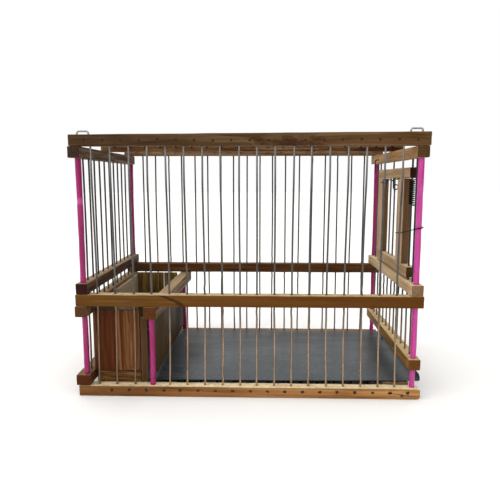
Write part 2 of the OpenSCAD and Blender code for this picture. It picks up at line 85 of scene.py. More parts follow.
class Nodes:
    """Short calls that add nodes to a node tree."""

    def __init__(self, tree):
        self.tree = tree
        tree.nodes.clear()

    def node(self, kind, **settings):
        n = self.tree.nodes.new("ShaderNode" + kind)
        for key, value in settings.items():
            setattr(n, key, value)
        return n

    def feed(self, socket, value):
        if isinstance(value, bpy.types.NodeSocket):
            self.tree.links.new(value, socket)
        elif value is not None:
            socket.default_value = value

    def math(self, op, a, b=None, c=None, clamp=False):
        n = self.node("Math", operation=op, use_clamp=clamp)
        for socket, value in zip(n.inputs, (a, b, c)):
            self.feed(socket, value)
        return n.outputs[0]

    def mul(self, a, b):
        return self.math("MULTIPLY", a, b)

    def add(self, a, b):
        return self.math("ADD", a, b)

    def sub(self, a, b):
        return self.math("SUBTRACT", a, b)

    def most(self, a, b):
        return self.math("MAXIMUM", a, b)

    def vector(self, op, a, b=None):
        n = self.node("VectorMath", operation=op)
        self.feed(n.inputs[0], a)
        self.feed(n.inputs[1], b)
        return n.outputs["Vector"]

    def axes(self, v):
        n = self.node("SeparateXYZ")
        self.feed(n.inputs[0], v)
        return n.outputs

    def mix(self, factor, a, b, blend="MIX"):
        n = self.node("Mix", data_type="RGBA", blend_type=blend)
        self.feed(n.inputs[0], factor)
        self.feed(n.inputs[6], a)
        self.feed(n.inputs[7], b)
        return n.outputs[2]

    def span(self, value, low, high, to_low=0.0, to_high=1.0):
        n = self.node("MapRange", interpolation_type="SMOOTHSTEP")
        for socket, v in zip(n.inputs, (value, low, high, to_low, to_high)):
            self.feed(socket, v)
        return n.outputs[0]

    def texture(self, kind, v, settings, **modes):
        n = self.node("Tex" + kind, **modes)
        self.feed(n.inputs["Vector"], v)
        for key, value in settings.items():
            n.inputs[key].default_value = value
        return n.outputs

    def noise(self, v, scale, detail, rough):
        return self.texture("Noise", v, {"Scale": scale, "Detail": detail, "Roughness": rough})["Fac"]

    def cells(self, v, scale):
        return self.texture("Voronoi", v, {"Scale": scale})["Distance"]

    def ramp(self, factor, *stops):
        n = self.node("ValToRGB")
        self.feed(n.inputs[0], factor)
        e = n.color_ramp.elements
        while len(e) < len(stops):
            e.new(0.5)
        for element, (at, colour) in zip(e, stops):
            element.position = at
            element.color = colour
        return n.outputs[0]

    def mapped(self, v, scale, shift, turn=(0, 0, 0)):
        n = self.node("Mapping")
        self.feed(n.inputs["Vector"], v)
        n.inputs["Location"].default_value = shift
        n.inputs["Rotation"].default_value = turn
        n.inputs["Scale"].default_value = scale
        return n.outputs[0]

    def bump(self, height, strength, distance):
        n = self.node("Bump")
        n.inputs["Strength"].default_value = strength
        n.inputs["Distance"].default_value = distance
        self.feed(n.inputs["Height"], height)
        return n.outputs[0]


class Surface(Nodes):
    """A material with a Principled shader; place and normal are in object space."""

    def __init__(self, name):
        self.mat = bpy.data.materials.new(name)
        self.mat.use_nodes = True
        super().__init__(self.mat.node_tree)
        self.bsdf = self.node("BsdfPrincipled")
        self.feed(self.node("OutputMaterial").inputs[0], self.bsdf.outputs[0])
        coord = self.node("TexCoord").outputs
        self.place, self.normal = coord["Object"], coord["Normal"]

    def shader(self, **values):
        for key, value in values.items():
            self.feed(self.bsdf.inputs[key.replace("_", " ")], value)
        return self.mat

    def spread(self, scale, shift, *settings, turn=(0, 0, 0)):
        """Noise over the surface, stretched, moved and turned."""
        return self.noise(self.mapped(self.place, scale, shift, turn), *settings)

    def edge_distance(self, low, high):
        """How far a point of a box's surface is from the box's nearest edge."""
        centre = (Vector(low) + Vector(high)) / 2
        half = (Vector(high) - Vector(low)) / 2
        off = self.vector("ABSOLUTE", self.vector("SUBTRACT", self.place, tuple(centre)))
        x, y, z = self.axes(self.vector("SUBTRACT", tuple(half), off))
        return self.most(self.math("MINIMUM", x, y), self.math("MINIMUM", self.most(x, y), z))


def stretched(axis, along, across=1.0):
    return tuple(along if i == axis else across for i in range(3))


def wood(name, low, high, axis, tones, seed, top=None, end=None, knots=0.0, contrast=1.0, stretch=26.0,
         tilt=0.0, dirt=0.5, wear=0.5, rough=0.62, worn=None, front=None, sweep=None, shade=None):
    """Worn timber, its grain along axis. tones are its dark, middle and light colours,
    top is a lighter colour painted on upward faces as painted light, front a darker colour
    painted on forward faces as painted shade, end that of end grain, worn that of rubbed
    edges. sweep is where a dark curl of grain crosses the bar, at its top and foot. shade
    is how much of each colour is left at its two ends."""
    g = Surface(name)
    dark, middle, light = tones
    shift = (0.37 * seed, -0.61 * seed, 0.83 * seed)
    turn = tuple(0.0 if i == axis else tilt for i in range(3))
    drift = g.texture("Noise", g.mapped(g.place, stretched(axis, 9.0, 30.0), shift), {"Scale": 1.0, "Detail": 1.0})
    push = g.vector("MULTIPLY", g.vector("SUBTRACT", drift["Color"], (0.5, 0.5, 0.5)),
                    tuple(0.004 * s for s in stretched(axis, 0.0)))
    p = g.vector("ADD", g.place, push)
    knot = None
    if knots > 0:
        near = g.cells(g.mapped(p, stretched(axis, 0.5), shift), 26.0 * knots)
        knot = g.span(near, 0.05, 0.26, 1.0, 0.0)
        ring = g.mul(knot, 0.006)
        lift = g.node("CombineXYZ")
        for i in range(3):
            g.feed(lift.inputs[i], 0.0 if i == axis else ring)
        p = g.vector("ADD", p, lift.outputs[0])
    grain = g.mapped(p, stretched(axis, 1.0 / stretch), shift, turn)
    streak = g.noise(grain, 330.0, 4.0, 0.62)
    fibre = g.noise(g.mapped(p, stretched(axis, 1.0 / (stretch * 2.2)), shift, turn), 1500.0, 2.0, 0.6)
    band = g.texture("Wave", grain, {"Scale": 62.0, "Distortion": 7.0, "Detail": 3.0, "Detail Scale": 1.6,
                                     "Detail Roughness": 0.6},
                     wave_type="BANDS", bands_direction="DIAGONAL", wave_profile="SAW")["Fac"]
    blotch = g.spread(stretched(axis, 0.45), shift, 42.0, 3.0, 0.6)
    value = g.add(g.mul(streak, 0.5), g.add(g.mul(fibre, 0.22), g.add(g.mul(band, 0.10), g.mul(blotch, 0.18))))
    value = g.add(g.mul(g.sub(value, 0.5), contrast), 0.5)
    colour = g.ramp(value, (0.33, dark), (0.49, middle), (0.66, light))
    # weathered dark patches and pale rubbed edges
    patch = g.spread(stretched(axis, 0.3), (shift[1], shift[2], shift[0]), 95.0, 4.0, 0.65)
    colour = g.mix(g.mul(g.span(patch, 0.5, 0.78), 0.55 * dirt), colour, linear(52, 36, 24))
    if knot is not None:
        eye = g.span(near, 0.02, 0.12, 1.0, 0.0)
        colour = g.mix(g.mul(knot, 0.45), colour, dark)
        colour = g.mix(g.mul(eye, 0.85), colour, dim(dark, 0.4))
    if sweep is not None:
        px, _, pz = g.axes(g.place)
        rise = g.math("DIVIDE", g.sub(pz, low[2]), high[2] - low[2])
        line = g.add(sweep[1], g.mul(g.math("POWER", rise, 1.6), sweep[0] - sweep[1]))
        off = g.sub(px, g.add(line, g.mul(g.sub(streak, 0.5), 0.006)))
        colour = g.mix(g.span(g.math("ABSOLUTE", off), 0.0008, 0.0055, 0.8, 0.0), colour, dim(dark, 0.42))
        warm = (middle[0] * 1.12, middle[1] * 0.92, middle[2] * 0.55, 1.0)
        colour = g.mix(g.mul(g.span(off, 0.0, 0.012), 0.4), colour, warm)
    if shade is not None:
        along = g.span(g.axes(g.place)[axis], low[axis], high[axis])
        colour = g.mix(1.0, colour, g.mix(along, shade[0] + (1.0,), shade[1] + (1.0,)), "MULTIPLY")
    nx, ny, nz = g.axes(g.normal)
    # painted light: upward faces turn to the lighter top colour, as if lit from above; the scuff noise only breaks it
    # up
    if top is not None:
        up = g.span(nz, 0.55, 0.9)
        pale = g.mix(g.span(value, 0.36, 0.62), dim(top, 0.72), top)
        scuff = g.spread((1, 1, 1), shift, 160.0, 4.0, 0.7)
        colour = g.mix(g.mul(up, g.span(scuff, 0.25, 0.62, 0.45, 0.95)), colour, pale)
    # painted shade: forward faces turn to the darker front colour
    if front is not None:
        front_shade = g.span(ny, -0.9, -0.6, 1.0, 0.0)
        colour = g.mix(front_shade, colour, g.mix(g.span(value, 0.34, 0.62), dim(front, 0.6), front))
    ragged = g.add(g.edge_distance(low, high), g.mul(g.sub(patch, 0.5), 0.0028))
    rubbed = g.mul(g.span(ragged, 0.0, 0.0011, 1.0, 0.0), wear)
    colour = g.mix(rubbed, colour, worn or g.mix(0.45, colour, light))
    cut = g.span(g.math("ABSOLUTE", (nx, ny, nz)[axis]), 0.75, 0.9)
    pores = g.spread((1, 1, 1), shift, 900.0, 3.0, 0.7, turn=(0.5, 0.4, 0.3))
    saw = g.spread((1, 1, 6), shift, 260.0, 2.0, 0.6, turn=(0.7, 0.7, 0.7))
    end = end or dim(middle, 0.75)
    sawn = g.span(g.add(g.mul(pores, 0.55), g.mul(saw, 0.45)), 0.36, 0.64)
    colour = g.mix(cut, colour, g.mix(sawn, dim(end, 0.5), end))
    height = g.add(g.add(g.mul(streak, 0.55), g.mul(fibre, 0.45)), g.mul(g.mul(cut, pores), 0.6))
    return g.shader(Base_Color=colour, Roughness=g.span(value, 0.3, 0.7, rough + 0.1, rough - 0.12),
                    Normal=g.bump(height, 0.55, 0.0005), Specular_IOR_Level=0.12)


def board_skin(name, colour, fleck, seed, low, high, shade_depths=None):
    """Hardboard: pressed fibres, blotched with age, with a scuffed edge. The last argument is
    painted shade across its depth: the depth where it is unshaded, the depth where it is
    darkest, and how dark."""
    g = Surface(name)
    shift = (0.71 * seed, 0.29 * seed, -0.53 * seed)
    fibres = g.spread((1, 1, 1), shift, 1100.0, 4.0, 0.75)
    cloud = g.spread((1, 1, 0.6), shift, 26.0, 4.0, 0.6)
    drip = g.spread((1, 1, 0.12), shift, 210.0, 3.0, 0.6)
    tone = g.mix(g.span(cloud, 0.3, 0.72), dim(colour, 0.72), colour)
    tone = g.mix(g.mul(g.span(fibres, 0.42, 0.72), 0.6), tone, fleck)
    tone = g.mix(g.mul(g.span(drip, 0.52, 0.75), 0.35), tone, dim(colour, 0.55))
    edge = g.add(g.edge_distance(low, high), g.mul(g.sub(cloud, 0.5), 0.003))
    tone = g.mix(g.span(edge, 0.0, 0.0016, 0.6, 0.0), tone, fleck)
    # painted shade: the board darkens across its depth
    if shade_depths is not None:
        unshaded, shaded, amount = shade_depths
        tone = g.mix(g.span(g.axes(g.place)[1], unshaded, shaded, 0.0, amount), tone, linear(30, 25, 22))
    return g.shader(Base_Color=tone, Roughness=g.span(cloud, 0.3, 0.7, 0.77, 0.57),
                    Normal=g.bump(fibres, 0.35, 0.0003), Specular_IOR_Level=0.12)


def steel(name, colour, seed, rough=0.3, rust=0.12, dull=0.35, axis=Z, foot=None, head=None, ends=None):
    """Drawn wire: streaks along it, dull oxide patches and a little rust. foot is a painted
    reflection tinting it near the floor, dimmer in front of the box, head a painted
    highlight near the roof, and ends painted shade on its cut ends, which sit in holes."""
    g = Surface(name)
    shift = (1.7 * seed, 0.9 * seed, -1.1 * seed)
    drawn = g.spread(stretched(axis, 0.03), shift, 2600.0, 2.0, 0.6)
    oxide = g.spread(stretched(axis, 0.35), shift, 150.0, 4.0, 0.65)
    spot = g.spread(stretched(axis, 0.6), (shift[2], shift[0], shift[1]), 420.0, 3.0, 0.7)
    tone = g.mix(g.span(drawn, 0.35, 0.65), dim(colour, 0.78), colour)
    # painted reflection: a warm tint near the floor, dimmed in front of the box
    if foot is not None:
        px, _, pz = g.axes(g.place)
        tone = g.mix(g.span(pz, 0.045, 0.1, 0.93, 0.0), tone, foot)
        by_box = g.mul(g.span(px, -0.112, -0.1, 0.95, 0.0), g.span(pz, 0.09, 0.1, 1.0, 0.0))
        tone = g.mix(by_box, tone, dim(foot, 0.5))
    # painted highlight: lighter towards the roof
    if head is not None:
        tone = g.mix(g.span(g.axes(g.place)[2], 0.2, 0.245, 0.0, 0.75), tone, head)
    tone = g.mix(g.mul(g.span(oxide, 0.42, 0.7), dull), tone, dim(colour, 0.55))
    brown = g.mul(g.span(spot, 0.6, 0.74), rust)
    # painted shade: the cut ends sit in holes and take a dark colour, and rust
    if ends is not None:
        cut = g.span(g.math("ABSOLUTE", g.axes(g.normal)[axis]), 0.6, 0.85)
        tone = g.mix(cut, tone, ends)
        brown = g.most(brown, g.mul(cut, 0.45))
    tone = g.mix(g.mul(brown, 0.8), tone, linear(70, 44, 26))
    metal = g.math("SUBTRACT", 1.0, g.mul(brown, 2.2), clamp=True)
    return g.shader(Base_Color=tone, Metallic=metal, Roughness=g.span(oxide, 0.3, 0.7, rough, rough + 0.22),
                    Normal=g.bump(g.add(drawn, spot), 0.25, 0.0002))


def straw_plastic(name, seed, tone_set, kink=None):
    """Thin glossy polypropylene: faint extrusion lines, scuffs, and light through its wall."""
    g = Surface(name)
    deep, body, pale = tone_set
    shift = (0.9 * seed, 1.3 * seed, -0.7 * seed)
    lines = g.spread((1, 1, 0.015), shift, 1500.0, 2.0, 0.5)
    cloud = g.spread((1, 1, 0.35), shift, 95.0, 3.0, 0.6)
    scuff = g.spread((1, 1, 0.5), (shift[1], shift[2], shift[0]), 900.0, 4.0, 0.75)
    tone = g.mix(g.span(lines, 0.36, 0.64), deep, body)
    tone = g.mix(g.mul(g.span(cloud, 0.42, 0.8), 0.22), tone, pale)
    tone = g.mix(g.mul(g.span(scuff, 0.62, 0.8), 0.16), tone, pale)
    # painted highlight: a soft pale band round the kink
    if kink is not None:
        off = g.math("ABSOLUTE", g.sub(g.axes(g.place)[2], kink))
        off = g.add(off, g.mul(g.sub(cloud, 0.5), 0.004))
        tone = g.mix(g.span(off, 0.0005, 0.0052, 0.6, 0.0), tone, pale)
    height = g.add(g.mul(lines, 0.6), g.mul(scuff, 0.4))
    return g.shader(Base_Color=tone, Roughness=g.span(scuff, 0.4, 0.75, 0.2, 0.36), Normal=g.bump(height, 0.22, 0.0002),
                    Subsurface_Weight=0.12, Subsurface_Radius=(0.004, 0.0012, 0.0026), Specular_IOR_Level=0.28,
                    Coat_Weight=0.12, Coat_Roughness=0.1)


def tray_metal(name):
    """Zinc-coated sheet gone blue-grey: faint spangle, wipe marks, scratches and dried spots."""
    g = Surface(name)
    spangle = g.cells(g.place, 150.0)
    wiped = g.spread((0.25, 1.0, 1.0), (3, 1, 2), 60.0, 5.0, 0.65, turn=(0, 0, 0.35))
    cloud = g.spread((1, 1, 1), (5, 7, 1), 14.0, 4.0, 0.6)
    scratch = g.spread((0.02, 1.0, 1.0), (1, 4, 2), 900.0, 2.0, 0.5, turn=(0, 0, -0.5))
    scratch_b = g.spread((1.0, 0.02, 1.0), (2, 9, 2), 800.0, 2.0, 0.5, turn=(0, 0, -0.3))
    spots = g.cells(g.mapped(g.place, (1, 1, 1), (9, 2, 4)), 62.0)
    tone = g.mix(g.span(cloud, 0.3, 0.7), linear(64, 71, 77), linear(78, 86, 92))
    tone = g.mix(g.mul(g.span(spangle, 0.1, 0.7), 0.05), tone, linear(104, 109, 111))
    tone = g.mix(g.mul(g.span(wiped, 0.45, 0.75), 0.14), tone, linear(100, 105, 106))
    lines = g.most(g.span(scratch, 0.66, 0.74), g.span(scratch_b, 0.68, 0.76))
    tone = g.mix(g.mul(lines, 0.16), tone, linear(130, 134, 135))
    dried = g.mul(g.span(spots, 0.06, 0.13, 1.0, 0.0), g.span(wiped, 0.45, 0.6))
    tone = g.mix(g.mul(dried, 0.35), tone, linear(158, 156, 148))
    # painted shade: darker towards the back, beside the box's wall and under the right rail along the lip
    px, py, _ = g.axes(g.place)
    far = g.span(py, -0.03, 0.075)
    left = g.mul(g.span(px, -0.075, -0.025, 1.0, 0.0), g.span(py, -0.06, -0.01))
    shaded = g.most(g.most(g.mul(far, 0.72), g.mul(left, 0.78)), g.span(px, 0.115, 0.165, 0.0, 0.5))
    tone = g.mix(shaded, tone, linear(38, 40, 38))
    rough = g.add(g.span(wiped, 0.3, 0.7, 0.2, 0.36), g.mul(dried, 0.25))
    rough = g.add(rough, g.mul(shaded, 0.22))
    return g.shader(Base_Color=tone, Roughness=rough, Metallic=g.math("MULTIPLY_ADD", shaded, -0.5, 0.45, clamp=True),
                    Normal=g.bump(g.add(cloud, g.mul(spangle, 0.02)), 0.12, 0.001))


def hole_shade(name, colour, seed):
    """Painted shade: the dark colour of the inside of a drilled hole, a dent or a crack, where shade falls."""
    g = Surface(name)
    fleck = g.spread((1, 1, 1), (seed, 2 * seed, 0), 1300.0, 4.0, 0.7)
    tone = g.mix(g.span(fleck, 0.35, 0.68), dim(colour, 0.35), colour)
    return g.shader(Base_Color=tone, Roughness=g.span(fleck, 0.3, 0.7, 0.95, 0.75), Normal=g.bump(fleck, 0.6, 0.0004))


# ---------------------------------------------------------------- geometry helpers

def finish_mesh(name, bm, mat, sharp=38):
    bmesh.ops.recalc_face_normals(bm, faces=bm.faces[:])
    me = bpy.data.meshes.new(name)
    bm.to_mesh(me)
    bm.free()
    me.shade_smooth()
    me.set_sharp_from_angle(angle=math.radians(sharp))
    me.materials.append(mat)
    ob = bpy.data.objects.new(name, me)
    scene.collection.objects.link(ob)
    return ob


def settle(ob, body, slot, *nodes):
    """The finished piece rides its body and stands for its nodes; slot is not used."""
    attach(ob, body)
    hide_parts(*nodes)
    return ob


def place(node, bm, mat, body="cage", slot="bright_wire", sharp=38):
    """The finished mesh as the piece that stands for one node."""
    return settle(finish_mesh("look_" + node, bm, mat, sharp), body, slot, node)


def bridge(bm, rings, caps=True):
    """Quads from ring to ring, and a fan over each end."""
    n = len(rings[0])
    for a, b in zip(rings, rings[1:]):
        for k in range(n):
            m = (k + 1) % n
            bm.faces.new((a[k], a[m], b[m], b[k]))
    if caps:
        for ring in (rings[0], rings[-1]):
            hub = bm.verts.new(sum((v.co for v in ring), Vector()) / n)
            for k in range(n):
                bm.faces.new((ring[k], ring[(k + 1) % n], hub))


def tube(bm, path, radius, sides=10):
    """A round bar along path. radius is a number or one number for each point."""
    n = len(path)
    rings, up = [], None
    for i, p in enumerate(path):
        p = Vector(p)
        t = (Vector(path[min(i + 1, n - 1)]) - Vector(path[max(i - 1, 0)])).normalized()
        up = t.orthogonal().normalized() if up is None else (up - t * up.dot(t)).normalized()
        side = t.cross(up)
        r = radius[i] if isinstance(radius, (list, tuple)) else radius
        rings.append([bm.verts.new(p + r * (math.cos(a) * up + math.sin(a) * side))
                      for a in (2 * math.pi * k / sides for k in range(sides))])
    bridge(bm, rings)


def wire(node, mat, path, radius, sides=8, body="cage", slot="dark_wire"):
    """One bent wire as a piece of its own."""
    bm = bmesh.new()
    tube(bm, path, radius, sides)
    return place(node, bm, mat, body, slot)


def lath(bm, low, high, axis, seed, radius=0.7 * MM, wave=0.22 * MM, chips=0.55 * MM, side_points=3, droop=None):
    """A worn rectangular bar inside the box low to high: rounded and chipped edges,
    slightly hollow faces and rough sawn ends. It never leaves its box."""
    step, bevel, corner_points = 4.5 * MM, 0.5 * MM, 3
    low, high = Vector(low), Vector(high)
    b, c = [i for i in range(3) if i != axis]
    length = high[axis] - low[axis]
    mid_b, mid_c = (low[b] + high[b]) / 2, (low[c] + high[c]) / 2
    half_b, half_c = (high[b] - low[b]) / 2, (high[c] - low[c]) / 2
    count = max(3, round(length / step))
    near_end = [0.0, bevel * 0.3, bevel, bevel + 0.9 * MM]
    stops = near_end + [s for s in (length * i / count for i in range(1, count))
                        if near_end[-1] + 0.4 * MM < s < length - near_end[-1] - 0.4 * MM]
    stops += [length - s for s in reversed(near_end)]
    rings = []
    for s in stops:
        from_end = min(s, length - s)
        pull = bevel * (1 - math.sqrt(max(0.0, 1 - (1 - from_end / bevel) ** 2))) if from_end < bevel else 0.0
        where = low[axis] + s
        ring, corners = [], []
        for q in range(4):
            worn = chips * max(0.0, wander(seed + q * 3.1, s * 70, q) - 0.15)
            r = radius * (1 + 0.35 * wander(seed + q, s * 30)) + worn
            r = min(max(r, 0.15 * MM), 0.46 * min(half_b, half_c) * 2)
            corners.append((1 if q in (0, 3) else -1, 1 if q in (0, 1) else -1, r))
        outline = []
        for q, (sb, sc, r) in enumerate(corners):
            start = q * math.pi / 2
            for k in range(corner_points + 1):
                a = start + math.pi / 2 * k / corner_points
                outline.append((sb * (half_b - r) + r * math.cos(a), sc * (half_c - r) + r * math.sin(a)))
            nb, nc, nr = corners[(q + 1) % 4]
            here = outline[-1]
            a = start + math.pi / 2
            there = (nb * (half_b - nr) + nr * math.cos(a), nc * (half_c - nr) + nr * math.sin(a))
            for k in range(1, side_points + 1):
                t = k / (side_points + 1)
                outline.append((lerp(here[0], there[0], t), lerp(here[1], there[1], t)))
        for pb, pc in outline:
            dip = wave * (0.5 + 0.5 * wander(seed, where * 38, pb * 160, pc * 160)) + 0.06 * MM
            dip = max(dip, 0.02 * MM) + pull
            fb = max(0.0, 1 - dip / half_b)
            fc = max(0.0, 1 - dip / half_c)
            p = Vector((0, 0, 0))
            p[b], p[c] = mid_b + pb * fb, mid_c + pc * fc
            rough = 0.25 * MM * (0.5 + 0.5 * wander(seed + 5, pb * 300, pc * 300)) if from_end <= bevel else 0.0
            p[axis] = where + (rough if s < length / 2 else -rough)
            if droop is not None:
                p = droop(p)
            ring.append(bm.verts.new(p))
        rings.append(ring)
    bridge(bm, rings)


def dent(bm, at, axis, sign, across, up, depth, seed, torn=0.25, points=12):
    """A cutter for an irregular oval pit at a point of a face; its mouth is torn."""
    b, c = [i for i in range(3) if i != axis]
    rings = []
    for out, size in ((0.6 * MM, 1.06), (0.0, 1.0), (-depth * 0.55, 0.82), (-depth, 0.5)):
        ring = []
        for k in range(points):
            a = 2 * math.pi * k / points
            r = size * (1 + torn * wander(seed, math.cos(a) * 1.7, math.sin(a) * 1.7))
            p = Vector(at)
            p[axis] += sign * out
            p[b] += across * r * math.cos(a)
            p[c] += up * r * math.sin(a)
            ring.append(bm.verts.new(p))
        rings.append(ring)
    bridge(bm, rings)


def carve(ob, cutter_bm, inside):
    """Cuts the shapes in cutter_bm out of ob; the cut faces take the material inside."""
    bmesh.ops.recalc_face_normals(cutter_bm, faces=cutter_bm.faces[:])
    me = bpy.data.meshes.new("cutter")
    cutter_bm.to_mesh(me)
    cutter_bm.free()
    me.materials.append(inside)
    tool = bpy.data.objects.new("cutter", me)
    scene.collection.objects.link(tool)
    mod = ob.modifiers.new("cut", "BOOLEAN")
    mod.operation, mod.solver, mod.object = "DIFFERENCE", "EXACT", tool
    mod.material_mode = "TRANSFER"
    bpy.context.view_layer.update()
    result = bpy.data.meshes.new_from_object(ob.evaluated_get(bpy.context.evaluated_depsgraph_get()))
    ob.modifiers.clear()
    ob.data = result
    result.set_sharp_from_angle(angle=math.radians(38))
    bpy.data.objects.remove(tool)


# ---------------------------------------------------------------- where the wires run

WIRE_R = 1.0 * MM
ROD_R = 1.0 * MM
PIN_RING = 2.7 * MM
PIN_WIRE = 0.675 * MM


def row(node, axis, count, r=WIRE_R):
    low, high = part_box(node)
    return [lerp(low[axis] + r, high[axis] - r, i / (count - 1)) for i in range(count)]


front_x = row("front_bars", X, 18)
back_x = row("back_bars", X, 18)
left_y = row("left_bars", Y, 11)
right_y = row("right_lower_bars", Y, 11)
roof_x = row("roof_bars", X, 19)
floor_x = row("floor_bars", X, 18)
right_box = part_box("right_upper_bars")
right_upper_y = [right_box[0].y + WIRE_R, right_box[1].y - WIRE_R - 15 * MM, right_box[1].y - WIRE_R]
rod_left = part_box("rod_front_left")[0].x + ROD_R
rod_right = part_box("rod_front_right")[1].x - ROD_R
rod_front = (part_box("rod_front_left")[0].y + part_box("rod_front_left")[1].y) / 2
cage_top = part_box("top_back_rail")[1].z
roof_z = (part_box("roof_bars")[0].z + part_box("roof_bars")[1].z) / 2
floor_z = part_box("floor_bars")[0].z + WIRE_R
hinge_low, hinge_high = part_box("hinge_rod")
hinge = (hinge_low + hinge_high) / 2


def front_lean(i, t):
    """How far front bar i stands off its place, at t = 0 at the floor to 1 at the roof."""
    u = (i - 9.5) / 9.5
    low_end = 1.1 - (4.0 if u < 0 else 1.6) * u * u + 0.5 * wander(3.0, i * 1.37)
    high_end = 1.0 - (3.0 if u < 0 else 2.0) * u * u + 0.9 * wander(7.0, i * 1.91)
    drawn_in = -1.25 * max(-1.0, min(1.0, 2.5 * u)) * math.sin(math.pi * min(1.0, 1.2 * t))
    return (lerp(low_end, high_end, t) + drawn_in) * MM


def slight_lean(seed):
    """The same for a row that leans by less than a millimetre."""
    return lambda i, t: lerp(0.6 * wander(seed, i * 1.3), 0.8 * wander(seed + 2, i * 1.7), t) * MM


back_lean, left_lean, right_lean = slight_lean(11.0), slight_lean(21.0), slight_lean(31.0)
rail_edges = [v.z for n in ("bottom_front", "mid_front", "top_front", "bottom_left", "box_left", "mid_left", "top_left")
              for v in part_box(n + "_rail")]


def upright(i, x, y, z0, z1, lean_x, lean_y, seed):
    """The path of bar i, straightened by hand: it leans, and bows between the rails that hold it."""
    path = []
    stops = sorted({z0, z1} | {z for z in rail_edges if z0 < z < z1})
    for a, b in zip(stops, stops[1:]):
        steps = max(2, round((b - a) / (12 * MM)))
        for k in range(steps + (1 if b == z1 else 0)):
            t = k / steps
            z = lerp(a, b, t)
            whole = z / cage_top
            swing = math.sin(math.pi * t) * 0.5 * MM
            path.append(Vector((x + lean_x(i, whole) + swing * wander(seed, a * 40),
                                y + lean_y(i, whole) + swing * wander(seed + 4, a * 40) * 0.7, z)))
    return path


# ---------------------------------------------------------------- timber

def tones(dark, middle, light, gain=1.15):
    return matt(*dark, gain), matt(*middle, gain), matt(*light, gain)


# painted shade for the insides of holes, dents and cracks; the sills take a less dark one
HOLE = hole_shade("hole_dark", linear(40, 26, 16), 1)
TORN = hole_shade("hole_torn", linear(92, 54, 24), 2)

PALE, BROWN, DARK = "pale_wood", "brown_wood", "dark_wood"
RAILS = {
    # node: (axis, slot, dark, middle and light tone, painted light on the top, end grain or None, wood settings)
    "top_front_rail": (X, DARK, (54, 35, 20), (74, 52, 33), (94, 69, 47), (128, 104, 78), (78, 54, 34),
                       dict(knots=0.45, contrast=1.35, dirt=0.45, wear=0.3, stretch=34,
                            shade=((0.78, 0.84, 1.05), (1.42, 1.62, 2.0)))),
    "top_middle_rail": (X, DARK, (58, 36, 18), (92, 64, 38), (122, 94, 66), (128, 104, 78), None,
                        dict(knots=0.8, contrast=1.6, dirt=0.45, wear=0.3)),
    "top_back_rail": (X, DARK, (72, 52, 34), (104, 80, 57), (130, 106, 80), (128, 104, 78), None,
                      dict(knots=0.5, contrast=1.3, wear=0.3)),
    "top_left_rail": (Y, DARK, (60, 42, 30), (82, 62, 46), (112, 88, 66), (130, 106, 80), (68, 50, 40),
                      dict(contrast=1.5)),
    "top_right_rail": (Y, BROWN, (114, 84, 54), (148, 113, 74), (166, 134, 98), (150, 124, 94), (92, 66, 40),
                       dict(dirt=0.35)),
    "mid_front_rail": (X, BROWN, (76, 44, 17), (93, 59, 29), (108, 73, 40), (205, 182, 142), (92, 58, 28),
                       dict(knots=0.22, contrast=0.85, dirt=0.25, wear=0.3, stretch=36, sweep=(-86 * MM, -64 * MM),
                            shade=((1.06, 1.28, 1.9), (0.84, 0.9, 0.9)))),
    "mid_back_rail": (X, DARK, (62, 37, 20), (84, 56, 35), (104, 76, 54), (120, 94, 68), None,
                      dict(dirt=0.35, wear=0.25)),
    # painted shade: this rail's dark tones hold the shade on its inner face, over the wood's own colour
    "mid_left_rail": (Y, DARK, (48, 30, 20), (72, 53, 40), (98, 76, 58), (156, 130, 102), (58, 31, 12),
                      dict(contrast=1.4)),
    # painted light: this rail's pale tones hold the light on its inner face, over the wood's own colour
    "mid_right_rail": (Y, PALE, (150, 118, 82), (184, 154, 116), (200, 176, 142), (214, 194, 156), (146, 116, 86),
                       dict(contrast=0.9, dirt=0.2, wear=0.25, tilt=0.05)),
    "lower_right_rail": (Y, PALE, (94, 62, 26), (122, 88, 44), (146, 112, 62), (206, 182, 138), (114, 72, 34),
                         dict(contrast=1.1, dirt=0.35)),
    "box_left_rail": (Y, BROWN, (76, 54, 36), (104, 80, 56), (132, 108, 80), (160, 136, 104), (94, 64, 40), {}),
    "box_right_rail": (Y, PALE, (78, 54, 34), (104, 80, 56), (132, 106, 76), (168, 142, 106), (96, 58, 33),
                       dict(contrast=1.1, dirt=0.3)),
    "bottom_front_rail": (X, PALE, (105, 67, 32), (139, 96, 55), (161, 118, 74), (226, 210, 172, 1.1), (128, 86, 48),
                          dict(knots=0.3, contrast=1.05, dirt=0.3, stretch=32,
                               shade=((0.62, 0.58, 0.56), (1.3, 1.4, 1.65)))),
    "bottom_back_rail": (X, PALE, (74, 54, 38), (98, 78, 60), (120, 98, 76), (140, 116, 88), None,
                         dict(contrast=1.1, wear=0.3)),
    "bottom_left_rail": (Y, BROWN, (64, 38, 20), (92, 60, 38), (118, 84, 58), (140, 110, 80), (88, 49, 25),
                         dict(contrast=1.3)),
}


